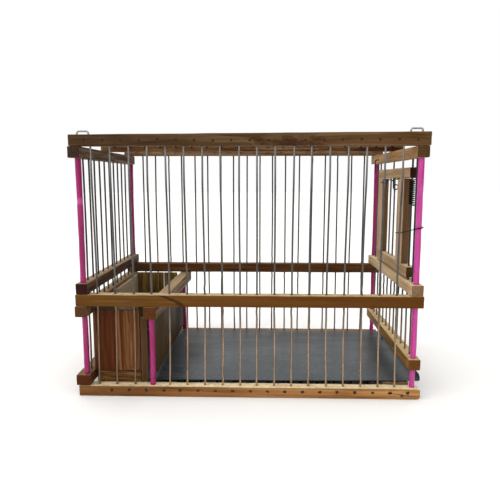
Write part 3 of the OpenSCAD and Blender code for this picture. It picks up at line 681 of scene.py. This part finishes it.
def hole_rows(bm, node, axis, seed):
    """Cutters for the drilled holes that show in a rail: a shallow rim round each wire, painted dark as shade."""
    low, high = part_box(node)
    mid = (low + high) / 2
    rim = 1.4 * MM
    for z, sign in [(high.z, 1)] + ([(low.z, -1)] if low.z > 1 * MM else []):
        places = []
        if axis == X:
            xs, lean = (front_x, front_lean) if mid.y < 0 else (back_x, back_lean)
            if abs(mid.y) > 50 * MM and z < cage_top - 1 * MM:
                places = [(x + lean(i, z / cage_top), mid.y) for i, x in enumerate(xs)]
        elif not (node == "box_right_rail" or sign > 0 and node.startswith("top")
                  or sign < 0 and node in ("lower_right_rail", "bottom_left_rail")):
            wire_x, ys, lean = (rod_left, left_y, left_lean) if mid.x < 0 else (rod_right, right_y, right_lean)
            if node == "top_right_rail" or node == "mid_right_rail" and sign > 0:
                ys = right_upper_y
            places = [(wire_x, y + lean(i, z / cage_top)) for i, y in enumerate(ys)]
        for i, (x, y) in enumerate(places):
            dent(bm, (x, y, z), Z, sign, rim, rim, 1.3 * MM, seed + i)


def pin_bore(bm, z0, z1):
    """A cutter for the hole the latch pin slides in."""
    box_low, box_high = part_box("latch_pin")
    at_x, at_y = box_high.x - 2 * PIN_RING - PIN_WIRE, (box_low.y + box_high.y) / 2
    tube(bm, [Vector((at_x, at_y, lerp(z0, z1, k / 3))) for k in range(4)], 1.25 * MM, 16)


BOX_RAIL_W = 13 * MM
BOX_RAIL_SKEW = 5 * MM
SIDE_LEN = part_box("top_right_rail")[1].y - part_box("top_right_rail")[0].y


def taper(p, low, high):
    """The front roof rail tapers towards its left end."""
    full = high.z - low.z
    p.z = low.z + (p.z - low.z) * lerp(cage_top - low.z, full, (p.x - low.x) / (high.x - low.x)) / full
    return p


def worn_round(p, low, high):
    """The right end of the front sill is worn round at its corners."""
    s, reach = high.x - p.x, 5 * MM
    if s < reach:
        pull = 2.6 * MM * (1 - math.sqrt(max(0.0, 1 - (1 - s / reach) ** 2)))
        middle = (low.z + high.z) / 2
        p.z = middle + (p.z - middle) * (1 - pull / (high.z - middle))
    return p


def crack(bm, y, x0, z0, x1, z1, width, depth, seed, stray):
    """A cutter for a jagged split in the front face at y, from one point of it to another."""
    rings, n = [], 13
    for i in range(n):
        t = i / (n - 1)
        x, z = lerp(x0, x1, t), lerp(z0, z1, t) + 0.3 * MM * wander(stray, t * 9)
        w = width * (0.25 + math.sin(math.pi * (i + 0.5) / n)) * (1 + 0.4 * wander(seed, i * 1.3))
        corners = ((x, y - 0.5 * MM, z + w), (x, y - 0.5 * MM, z - w), (x, y + depth, z - 0.2 * w))
        rings.append([bm.verts.new(Vector(c)) for c in corners])
    bridge(bm, rings)


ENDS = {"top_front_rail": taper, "bottom_front_rail": worn_round}
for order, (node, (axis, slot, dark, middle, light, top, end, look)) in enumerate(RAILS.items()):
    low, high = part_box(node)
    seed = order + 1.0
    stand = (low + high) / 2
    if node == "box_right_rail":
        # it lies askew, so it is built square at the origin and turned
        half = Vector((BOX_RAIL_W / 2, SIDE_LEN / 2, (high.z - low.z) / 2))
        low, high = -half, half
    mat = wood("wood_" + node, low, high, axis, tones(dark, middle, light), seed, matt(*top), end and matt(*end),
               **(dict(contrast=1.2, dirt=0.4, wear=0.35) | look))
    bm = bmesh.new()
    ends = ENDS.get(node)
    lath(bm, low, high, axis, seed, droop=ends and (lambda p: ends(p, low, high)))
    piece = finish_mesh("look_" + node, bm, mat)
    if node == "box_right_rail":
        piece.location = stand
        piece.rotation_euler.z = -math.atan(BOX_RAIL_SKEW / SIDE_LEN)
    tool, splits = bmesh.new(), bmesh.new()
    hole_rows(tool, node, axis, seed)
    for face_y, sign in ((low.y, -1), (high.y, 1)):
        if axis == X and node.startswith("top"):
            for i, x in enumerate(roof_x):
                at = (x, face_y, roof_z + 0.5 * MM * wander(2, i))
                dent(tool, at, Y, sign, 1.3 * MM, 1.25 * MM, 1.8 * MM, seed + i, 0.3)
        if axis == X and node.startswith("bottom"):
            for i, x in enumerate(floor_x):
                at = (x + 0.5 * MM * wander(5, i), face_y, floor_z + 0.2 * MM * wander(6, i))
                dent(tool, at, Y, sign, (1.8 + 0.4 * wander(9, i)) * MM, (1.6 + 0.3 * wander(8, i)) * MM, 1.3 * MM,
                     seed + i, 0.28, 16)
    if node == "bottom_front_rail":
        crack(splits, low.y, 140 * MM, 6.2 * MM, 167 * MM, 3.0 * MM, 0.32 * MM, 2.6 * MM, 3, 4)
    if node == "mid_front_rail":
        crack(splits, low.y, -86 * MM, high.z - 0.7 * MM, -62 * MM, low.z + 1.2 * MM, 0.26 * MM, 1.4 * MM, 5, 6)
    if node == "top_right_rail":
        pin_bore(tool, low.z - 1 * MM, low.z + 7.5 * MM)
    for cuts in (tool, splits):
        if len(cuts.verts):
            carve(piece, cuts, TORN if node.startswith("bottom") else HOLE)
        else:
            cuts.free()
    settle(piece, "cage", slot, node)


# ---------------------------------------------------------------- corner rods and the hinge rod

ROD_STEEL = steel("rod_steel", linear(190, 190, 190), 3, rough=0.2, rust=0.08, dull=0.25)
for node in ("rod_front_left", "rod_front_right", "rod_back_left", "rod_back_right"):
    low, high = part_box(node)
    side = -1 if low.x < 0 else 1
    x = rod_left if side < 0 else rod_right
    y = (low.y + high.y) / 2
    bend = 2 * MM
    top = high.z - ROD_R - bend
    path = [Vector((x, y, lerp(low.z, top, k / 22))) for k in range(22)]
    for k in range(7):
        a = math.pi / 2 * k / 6
        path.append(Vector((x - side * bend * (1 - math.cos(a)), y, top + bend * math.sin(a))))
    flat_run = abs(high.x - low.x) - 2 * ROD_R - 2 * bend
    path += [Vector((x - side * (bend + flat_run * k / 3), y, top + bend)) for k in (1, 2)]
    for k in range(7):
        a = math.pi / 2 * k / 6
        path.append(Vector((x - side * (bend + flat_run + bend * math.sin(a)), y, top + bend * math.cos(a))))
    path.append(Vector((x - side * (2 * bend + flat_run), y, top - 1.1 * MM)))
    wire(node, ROD_STEEL, path, [ROD_R * (0.985 + 0.01 * wander(side * 3, i * 0.6)) for i in range(len(path))], 12,
         slot="bright_wire")


# ---------------------------------------------------------------- bars

# foot paints a reflection near the floor and head a highlight near the roof; the cross bars' ends are painted dark as
# shade
BAR_STEEL = steel("bar_steel", linear(96, 94, 92), 5, rough=0.2, rust=0.12, dull=0.4,
                  foot=linear(176, 148, 120), head=linear(172, 170, 166))
DULL_STEEL = steel("dull_bar_steel", linear(72, 70, 68), 6, rough=0.3, rust=0.14, dull=0.4, foot=linear(140, 118, 98))
CROSS_STEEL = steel("cross_bar_steel", linear(80, 78, 76), 8, rough=0.34, rust=0.14, dull=0.4, axis=Y,
                    ends=linear(44, 28, 16))
path = [Vector((hinge.x, hinge.y, lerp(hinge_low.z, hinge_high.z, k / 14))) for k in range(15)]
wire("hinge_rod", DULL_STEEL, path, ROD_R * 0.985, 12, slot="bright_wire")


def still(i, t):
    return 0.0


def upright_row(node, places, seed, lean_x=still, lean_y=still, mat=DULL_STEEL, foot=None):
    """A row of bars at these x, or at these y. foot gives the lower end of bar i."""
    low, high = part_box(node)
    mid = (low + high) / 2
    bm = bmesh.new()
    for i, v in enumerate(places):
        x, y = (mid.x, v) if lean_x is still else (v, mid.y)
        path = upright(i, x, y, foot(i) if foot else low.z, high.z, lean_x, lean_y, seed + i * 0.71)
        tube(bm, path, [WIRE_R * (0.93 + 0.01 * wander(seed + i, k)) for k in range(len(path))], 12)
    place(node, bm, mat)


right_foot = (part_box("right_lower_bars")[0].z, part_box("lower_right_rail")[0].z + 2.3 * MM)
upright_row("front_bars", front_x, 3, front_lean, mat=BAR_STEEL)
upright_row("back_bars", back_x, 23, back_lean)
upright_row("left_bars", left_y, 43, lean_y=left_lean)
upright_row("right_lower_bars", right_y, 63, lean_y=right_lean, foot=lambda i: right_foot[i != 7])
upright_row("right_upper_bars", right_upper_y, 83, lean_y=right_lean)

for node, xs in (("roof_bars", roof_x), ("floor_bars", floor_x)):
    low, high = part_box(node)
    z = (low.z + high.z) / 2
    bm = bmesh.new()
    for i, x in enumerate(xs):
        path = []
        for k in range(19):
            t = k / 18
            y = lerp(low.y, high.y, t)
            free = MM * math.sin(math.pi * (t * 2 % 1.0 if node == "roof_bars" else t))
            path.append(Vector((x + 0.5 * free * wander(i, t * 2), y, z + 0.3 * free * wander(i + 40, t * 2))))
        tube(bm, path, WIRE_R * 0.99, 10)
    place(node, bm, CROSS_STEEL)

low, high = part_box("door_bars")
x = (low.x + high.x) / 2
bm = bmesh.new()
for i in range(3):
    y = lerp(low.y + WIRE_R, high.y - WIRE_R, i / 2)
    bow = [math.sin(math.pi * k / 10) * MM for k in range(11)]
    tube(bm, [Vector((x + 0.25 * b * wander(i, 3), y + 0.5 * b * wander(i, 7), lerp(low.z, high.z, k / 10)))
              for k, b in enumerate(bow)], WIRE_R * 0.99, 10)
place("door_bars", bm, BAR_STEEL, "door")


# ---------------------------------------------------------------- straws

# painted light: the straws on the right take a lighter copy of the pink, as the light falling on them
PINK = ((0.24, 0.006, 0.080), (0.34, 0.010, 0.130), (0.62, 0.10, 0.36))
LIT_PINK = ((0.43, 0.027, 0.215), (0.56, 0.048, 0.305), (0.78, 0.26, 0.58))
BRIGHT = ("straw_upper_front_right", "straw_lower_front_right", "straw_slot_pair")


def straw_piece(node, places, kink=None, flare=False):
    """places: (x, y, z0, z1). A thin open tube, a little bowed and out of round."""
    bm = bmesh.new()
    seed = sum(ord(ch) for ch in node) % 37 + 1.0
    for j, (x, y, z0, z1) in enumerate(places):
        length = z1 - z0
        steps = max(6, round(length / (3 * MM)))
        shells = []
        for wall in (0.0, 0.4 * MM):
            rings = []
            for k in range(steps + 1):
                t = k / steps
                z = lerp(z0 + 0.05 * MM, z1 - 0.05 * MM, t)
                bow = math.sin(math.pi * t) * min(0.55 * MM, length * 0.008)
                cx = x + bow * wander(seed + j, 1.0)
                cy = y + bow * wander(seed + j, 5.1)
                ring = []
                for q in range(16):
                    a = 2 * math.pi * q / 16
                    r = 3 * MM - wall - 0.05 * MM
                    r += 0.10 * MM * math.cos(2 * a + 6 * wander(seed, t * 3)) - 0.10 * MM
                    if kink is not None:
                        pinch = math.exp(-((z - kink) / (1.6 * MM)) ** 2)
                        r -= 0.3 * MM * pinch * max(0.0, math.cos(a - 3.6))
                    if flare:
                        r *= lerp(1.0, 0.86, min(1.0, (z - z0) / (7 * MM)))
                    ring.append(bm.verts.new(Vector((cx + r * math.cos(a), cy + r * math.sin(a), z))))
                rings.append(ring)
            bridge(bm, rings, False)
            shells.append(rings)
        outer, inner = shells
        for end in (0, -1):
            for q in range(16):
                m = (q + 1) % 16
                bm.faces.new((outer[end][q], outer[end][m], inner[end][m], inner[end][q]))
    # painted shade: the back left straws take a darker copy of the pink
    gain = 0.85 if "back_left" in node else 1.0
    tone_set = [dim(tone, gain) for tone in (LIT_PINK if node in BRIGHT else PINK)]
    mat = straw_plastic("plastic_" + node, seed, tone_set, kink)
    place(node, bm, mat, slot="pink_straw", sharp=50)


for node in ["straw_%s_%s_%s" % (level, depth, side) for level in ("upper", "lower") for depth in ("front", "back")
             for side in ("left", "right")] + ["straw_box_front", "straw_box_back"]:
    low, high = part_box(node)
    kink = lerp(high.z, low.z, 0.34) if node == "straw_upper_front_left" else None
    straw_piece(node, [((low.x + high.x) / 2, (low.y + high.y) / 2, low.z, high.z)], kink)
low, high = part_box("straw_slot_pair")
straw_piece("straw_slot_pair", [((low.x + high.x) / 2, y, low.z, high.z) for y in (rod_front, -rod_front)], flare=True)


# ---------------------------------------------------------------- nest box boards

def board(bm, low, high, axis, seed, side_points=3):
    lath(bm, low, high, axis, seed, 0.45 * MM, 0.12 * MM, 0.6 * MM, side_points)


def box_board(node, axis, mat, slot, side_points=3):
    bm = bmesh.new()
    board(bm, *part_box(node), axis, sum(ord(ch) for ch in node) % 41 + 1.0, side_points)
    place(node, bm, mat, slot=slot)


for node, axis, slot, tone_set, seed, look in (
        ("box_front_stile", Z, DARK, ((54, 25, 11), (76, 42, 24), (106, 70, 46)), 31, dict(contrast=1.3)),
        ("box_front_board_left", Z, DARK, ((56, 25, 5), (76, 41, 15), (98, 60, 28)), 33,
         dict(contrast=0.75, dirt=0.35, rough=0.6, stretch=20)),
        ("box_front_board_right", Z, BROWN, ((62, 34, 16), (96, 60, 36), (130, 94, 64)), 35,
         dict(contrast=1.25, dirt=0.45, stretch=34, worn=matt(124, 92, 66))),
        ("box_front_foot", X, BROWN, ((62, 38, 16), (88, 60, 35), (112, 84, 56)), 37,
         dict(contrast=1.7, tilt=0.22, stretch=12, knots=0.5))):
    box_board(node, axis, wood("wood_" + node, *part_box(node), axis, tones(*tone_set), seed, **look), slot)
for node, axis, colour, fleck, gain, seed, side_points, shade_depths in (
        ("box_corner_strip", Z, (84, 62, 43), (104, 82, 60), 1.15, 41, 3, None),
        # the left wall: a gain of 2.9 lightens it as painted light inside the box, and its last values paint shade,
        # darker towards the front
        ("box_left_wall", Y, (112, 100, 82), (130, 116, 96), 2.9, 43, 7, (0.012, -0.03, 0.8)),
        # the right wall: its last values paint shade, darker towards the back
        ("box_right_wall", Y, (68, 54, 34), (82, 66, 44), 1.75, 45, 7, (-0.05, 0.07, 0.75))):
    skin = board_skin("board_" + node, matt(*colour, gain), matt(*fleck, gain), seed, *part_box(node), shade_depths)
    box_board(node, axis, skin, "hardboard", side_points)
low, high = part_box("box_back_boards")
gap = 0.3 * MM
each = (high.x - low.x - 2 * gap) / 3
bm = bmesh.new()
for i in range(3):
    a = Vector((low.x + i * (each + gap), low.y, low.z))
    b = Vector((a.x + each, high.y, high.z))
    board(bm, a, b, Z, 51.0 + i)
# a gain of 1.9 lightens the back boards as painted light inside the box
tone_set = tones((58, 44, 23), (86, 69, 42), (112, 92, 60), 1.9)
mat = wood("wood_box_back_boards", low, high, Z, tone_set, 51, contrast=1.9, stretch=22)
place("box_back_boards", bm, mat, slot=DARK)


# ---------------------------------------------------------------- tray and its strips

low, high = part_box("floor_strips")
width = 26 * MM
bm = bmesh.new()
for i, (a, b) in enumerate(((low.x, low.x + width), (high.x - width, high.x))):
    lath(bm, (a, low.y, low.z), (b, high.y, high.z), Y, 61.0 + i, 0.5 * MM, 0.12 * MM, 0.4 * MM)
tone_set = tones((128, 98, 66), (164, 136, 100), (192, 166, 128))
place("floor_strips", bm, wood("wood_floor_strips", low, high, Y, tone_set, 61, contrast=0.9), slot=PALE)

low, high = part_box("tray")
TRAY_T = 1 * MM
fold = 1.6 * MM


def tray_profile():
    """The sheet's middle line, from its left edge to the top of the turned-up lip."""
    points = []
    flat_end = high.x - TRAY_T / 2 - fold
    z = low.z + TRAY_T / 2
    for k in range(61):
        points.append((lerp(low.x, flat_end, k / 60), z))
    for k in range(1, 7):
        a = math.pi / 2 * k / 6
        points.append((flat_end + fold * math.sin(a), z + fold * (1 - math.cos(a))))
    for k in range(1, 5):
        points.append((high.x - TRAY_T / 2, lerp(z + fold, high.z - 0.1 * MM, k / 4)))
    return points


profile = tray_profile()
bm = bmesh.new()
columns = 37
corner = 6 * MM
top_sheet, low_sheet = [], []
for j in range(columns):
    y = lerp(low.y, high.y, j / (columns - 1))
    top_row, low_row = [], []
    for k, (px, pz) in enumerate(profile):
        yy = y
        over = pz - (high.z - corner)
        if pz > low.z + TRAY_T and over > 0:
            # the lip's two upper corners are rounded
            trim = corner - math.sqrt(max(0.0, corner ** 2 - min(over, corner) ** 2))
            limit = (high.y - low.y) / 2 - trim
            yy = max(-limit, min(limit, y))
        a = profile[max(k - 1, 0)]
        b = profile[min(k + 1, len(profile) - 1)]
        tangent = Vector((b[0] - a[0], 0, b[1] - a[1])).normalized()
        out = Vector((-tangent.z, 0, tangent.x))
        ripple = 0.16 * MM * wander(71, px * 22, yy * 22) if pz < low.z + TRAY_T else 0.0
        # the sheet's front edge has sprung up towards the right
        spring = max(0.0, min(1.0, (px - 20 * MM) / (110 * MM))) * max(0.0, min(1.0, (-yy - 20 * MM) / (66 * MM)))
        centre = Vector((px, yy, min(pz + 1.4 * MM * spring ** 1.5, max(pz, high.z - 0.7 * MM))))
        thick = TRAY_T * 0.5 - 0.2 * MM
        top_row.append(bm.verts.new(centre + out * (thick + ripple)))
        low_row.append(bm.verts.new(centre - out * (thick - ripple)))
    top_sheet.append(top_row)
    low_sheet.append(low_row)
for rows in (top_sheet, low_sheet):
    for a, b in zip(rows, rows[1:]):
        for k in range(len(profile) - 1):
            bm.faces.new((a[k], a[k + 1], b[k + 1], b[k]))
for k in range(len(profile) - 1):
    for j in (0, -1):
        bm.faces.new((top_sheet[j][k], top_sheet[j][k + 1], low_sheet[j][k + 1], low_sheet[j][k]))
for j in range(columns - 1):
    for k in (0, -1):
        bm.faces.new((top_sheet[j][k], top_sheet[j + 1][k], low_sheet[j + 1][k], low_sheet[j][k]))
bmesh.ops.remove_doubles(bm, verts=bm.verts[:], dist=0.01 * MM)
place("tray", bm, tray_metal("tray_zinc"), "tray", "tray_sheet", 50)


# ---------------------------------------------------------------- door

DOOR_TONES = tones((124, 96, 64), (158, 128, 92), (182, 154, 118))
for k, (node, end) in enumerate((("door_top_rail", (58, 34, 20)), ("door_bottom_rail", (86, 58, 36)))):
    low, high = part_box(node)
    # matt(206, 184, 148) is painted light on the door rails' upward faces
    mat = wood("wood_" + node, low, high, Y, DOOR_TONES, 81 + k, matt(206, 184, 148), matt(*end), dirt=0.35, wear=0.3)
    bm = bmesh.new()
    lath(bm, low, high, Y, 81.0 + k, 0.6 * MM)
    piece = finish_mesh("look_" + node, bm, mat)
    if node == "door_top_rail":
        tool = bmesh.new()
        pin_bore(tool, low.z - 1 * MM, high.z + 1 * MM)
        carve(piece, tool, HOLE)
    settle(piece, "door", PALE, node)
STILE_TONES = tones((132, 102, 74), (168, 137, 108), (188, 161, 131))
for k, node in enumerate(("door_near_stile", "door_far_stile")):
    # front paints the stiles' forward faces darker, as painted shade
    mat = wood("wood_" + node, *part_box(node), Z, STILE_TONES, 85 + k, front=matt(104, 78, 54),
               contrast=1.1, dirt=0.4, wear=0.35, stretch=30)
    bm = bmesh.new()
    lath(bm, *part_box(node), Z, 85.0 + k, 0.6 * MM, side_points=5)
    place(node, bm, mat, "door", BROWN)


# ---------------------------------------------------------------- thin dark wire

IRON = steel("dark_iron", linear(20, 18, 18), 9, rough=0.5, rust=0.1, dull=0.0)
PIN = steel("pin_steel", linear(46, 44, 44), 10, rough=0.36, rust=0.2, dull=0.2)
THIN_R = 0.6 * MM

low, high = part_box("door_spring")
COIL_R = 2.6 * MM
turns = 13
coil_low, coil_high = low.z + THIN_R, high.z - THIN_R
path = []
for i in range(turns * 22 + 1):
    t = i / (turns * 22)
    a = -2 * math.pi * turns * t
    path.append(Vector((hinge.x + COIL_R * math.cos(a), hinge.y + COIL_R * math.sin(a), lerp(coil_low, coil_high, t))))
last = path[-1]
for i in range(1, 9):
    t = i / 8
    path.append(Vector((last.x + 0.6 * MM * math.sin(t * math.pi / 2), lerp(last.y, low.y + 0.1 * MM, t), last.z)))
wire("door_spring", IRON, path, THIN_R * 0.98)

low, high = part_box("door_spring_leg")
mid = (low + high) / 2
path = [Vector((mid.x, lerp(low.y + 0.1 * MM, high.y - 0.1 * MM, k / 10), mid.z)) for k in range(11)]
wire("door_spring_leg", IRON, path, THIN_R * 0.98, body="door")

low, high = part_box("door_tie_wire")
x = (low.x + high.x) / 2
path = []
for k in range(33):
    z = lerp(high.z - 0.6 * MM, low.z + 1.4 * MM, k / 32) - 0.9 * MM * math.sin(0.7 * k) * (2 < k < 31)
    path.append(Vector((x, lerp(low.y + 0.3 * MM, high.y - 0.3 * MM, k / 32), max(low.z + THIN_R, z))))
wire("door_tie_wire", IRON, path, THIN_R * 0.95, body="door")

low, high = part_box("latch_pin")
pin_r = 0.9 * MM
y = (low.y + high.y) / 2
centre = Vector((high.x - PIN_RING - PIN_WIRE, y, low.z + PIN_RING + PIN_WIRE))
pin_x = centre.x - PIN_RING
path = [Vector((pin_x, y, lerp(high.z, centre.z, k / 12))) for k in range(13)]
radii = [pin_r * (0.75 if k == 0 else 0.98) - (pin_r - PIN_WIRE) * max(0, k - 9) / 3 for k in range(13)]
for k in range(1, 31):
    a = math.pi + 2 * math.pi * k / 31
    path.append(centre + Vector((PIN_RING * math.cos(a), 0.1 * MM * math.sin(a / 2), PIN_RING * math.sin(a))))
    radii.append(PIN_WIRE * 0.98)
wire("latch_pin", PIN, path, radii, 10, "latch_pin")

low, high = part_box("stop_wire")
STOP_R = 0.5 * MM
straw_low, straw_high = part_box("straw_upper_front_right")
post = (straw_low + straw_high) / 2
loop_r = (straw_high.x - straw_low.x) / 2 + STOP_R + 0.4 * MM
loop_z = high.z - 2 * MM - STOP_R
start_a = math.radians(205)
ring = [Vector((post.x + loop_r * math.cos(a), post.y + loop_r * math.sin(a), loop_z + 2 * MM * k / 24))
        for k, a in ((k, start_a + math.radians(200) * k / 24) for k in range(25))]
finish_at = Vector((low.x + STOP_R, high.y - 0.2 * MM, low.z + STOP_R))
run = []
for k in range(14):
    t = k / 14
    p = finish_at.lerp(ring[0], t)
    p.z -= 0.9 * MM * math.sin(math.pi * t)
    p.z = max(p.z, low.z + STOP_R)
    run.append(p)
wire("stop_wire", IRON, run + ring, STOP_R * 0.98)

low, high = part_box("door_catch")
bend = 2.2 * MM
y = (low.y + high.y) / 2
top = high.z - THIN_R
path = [Vector((lerp(high.x, low.x + THIN_R + bend, k / 6), y, top)) for k in range(7)]
for k in range(1, 8):
    a = math.pi / 2 * k / 7
    path.append(Vector((low.x + THIN_R + bend - bend * math.sin(a), y, top - bend + bend * math.cos(a))))
path += [Vector((low.x + THIN_R, y, lerp(top - bend, low.z + 0.1 * MM, k / 6))) for k in range(1, 7)]
wire("door_catch", IRON, path, THIN_R * 0.98, 10, "catch")

# nails: two hold the middle roof rail, one is in the front sill
low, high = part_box("nails")
NAIL_IRON = steel("nail_iron", linear(96, 88, 80), 12, rough=0.5, rust=0.5, dull=0.5)
bm = bmesh.new()


def nail(bm, at, direction, head_r=1.5 * MM, shank=0.75 * MM, length=9 * MM):
    """A domed head with a hammered rim, and its shank."""
    d = Vector(direction)
    path = [Vector(at) + d * s for s in (0.48 * MM, 0.45 * MM, 0.33 * MM, 0.08 * MM, -0.02 * MM, -0.05 * MM, -length)]
    tube(bm, path, [head_r * 0.35, head_r * 0.75, head_r * 0.93, head_r * 0.98, head_r * 0.9, shank, shank * 0.9], 14)


for x in (rod_left, rod_right):
    nail(bm, (x, 4 * MM, cage_top), (0, 0, 1))
front_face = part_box("bottom_front_rail")[0].y
nail(bm, (152 * MM, front_face, low.z + 1.5 * MM), (0, -1, 0), length=6 * MM)
place("nails", bm, NAIL_IRON, slot="dark_wire")


# ---------------------------------------------------------------- floor, light and camera

g = Surface("floor_paper")
grain_n = g.noise(g.place, 700.0, 3.0, 0.6)
g.shader(Base_Color=g.mix(g.span(grain_n, 0.3, 0.7), (0.86, 0.86, 0.855, 1.0), (0.9, 0.9, 0.895, 1.0)),
         Roughness=g.span(grain_n, 0.3, 0.7, 0.8, 0.9))
bm = bmesh.new()
bmesh.ops.create_grid(bm, x_segments=24, y_segments=24, size=9.0)
floor = finish_mesh("studio_floor", bm, g.mat)
floor.location.z = -0.05 * MM

world = bpy.data.worlds.new("studio")
world.use_nodes = True
scene.world = world
w = Nodes(world.node_tree)


def shade_node(kind, *values):
    n = w.node(kind)
    for socket, value in zip(n.inputs, values):
        w.feed(socket, value)
    return n.outputs[0]


# white to the camera; as a light, brighter from the left and from above
across, _, upward = w.axes(w.node("TexCoord").outputs["Generated"])
strength = w.add(shade_node("MapRange", across, -1.0, 1.0, 0.75, 0.25), w.span(upward, 0.15, 0.75, 0.0, 1.05))
lit = shade_node("Background", (1.0, 0.99, 0.975, 1.0), strength)
seen = shade_node("Background", (1.0, 1.0, 1.0, 1.0), 1.0)
camera_ray = w.node("LightPath").outputs["Is Camera Ray"]
w.feed(w.node("OutputWorld").inputs[0], shade_node("MixShader", camera_ray, lit, seen))


key = bpy.data.lights.new("left_key", "AREA")
key.shape = "RECTANGLE"
key.size, key.size_y = 0.8, 0.9
key.energy = 5.0
key.color = (1.0, 0.99, 0.97)
lamp = bpy.data.objects.new("left_key", key)
lamp.location = (-1.25, -0.75, 0.9)
lamp.rotation_euler = (Vector((0, 0, 0.12)) - lamp.location).to_track_quat("-Z", "Y").to_euler()
scene.collection.objects.link(lamp)

LOOKS_DOWN, TURNED_LEFT = math.radians(7.69), math.radians(1.64)
camera = bpy.data.objects.new("camera", bpy.data.cameras.new("camera"))
camera.data.sensor_width = 36.0
camera.data.lens = 36.94
camera.data.clip_start = 0.01
camera.location = (0.0159, -0.5912, 0.2146)
camera.rotation_euler = (math.radians(90) - LOOKS_DOWN, 0.0, TURNED_LEFT)
scene.collection.objects.link(camera)
scene.camera = camera
scene.view_settings.view_transform = "Standard"
scene.view_settings.look = "None"
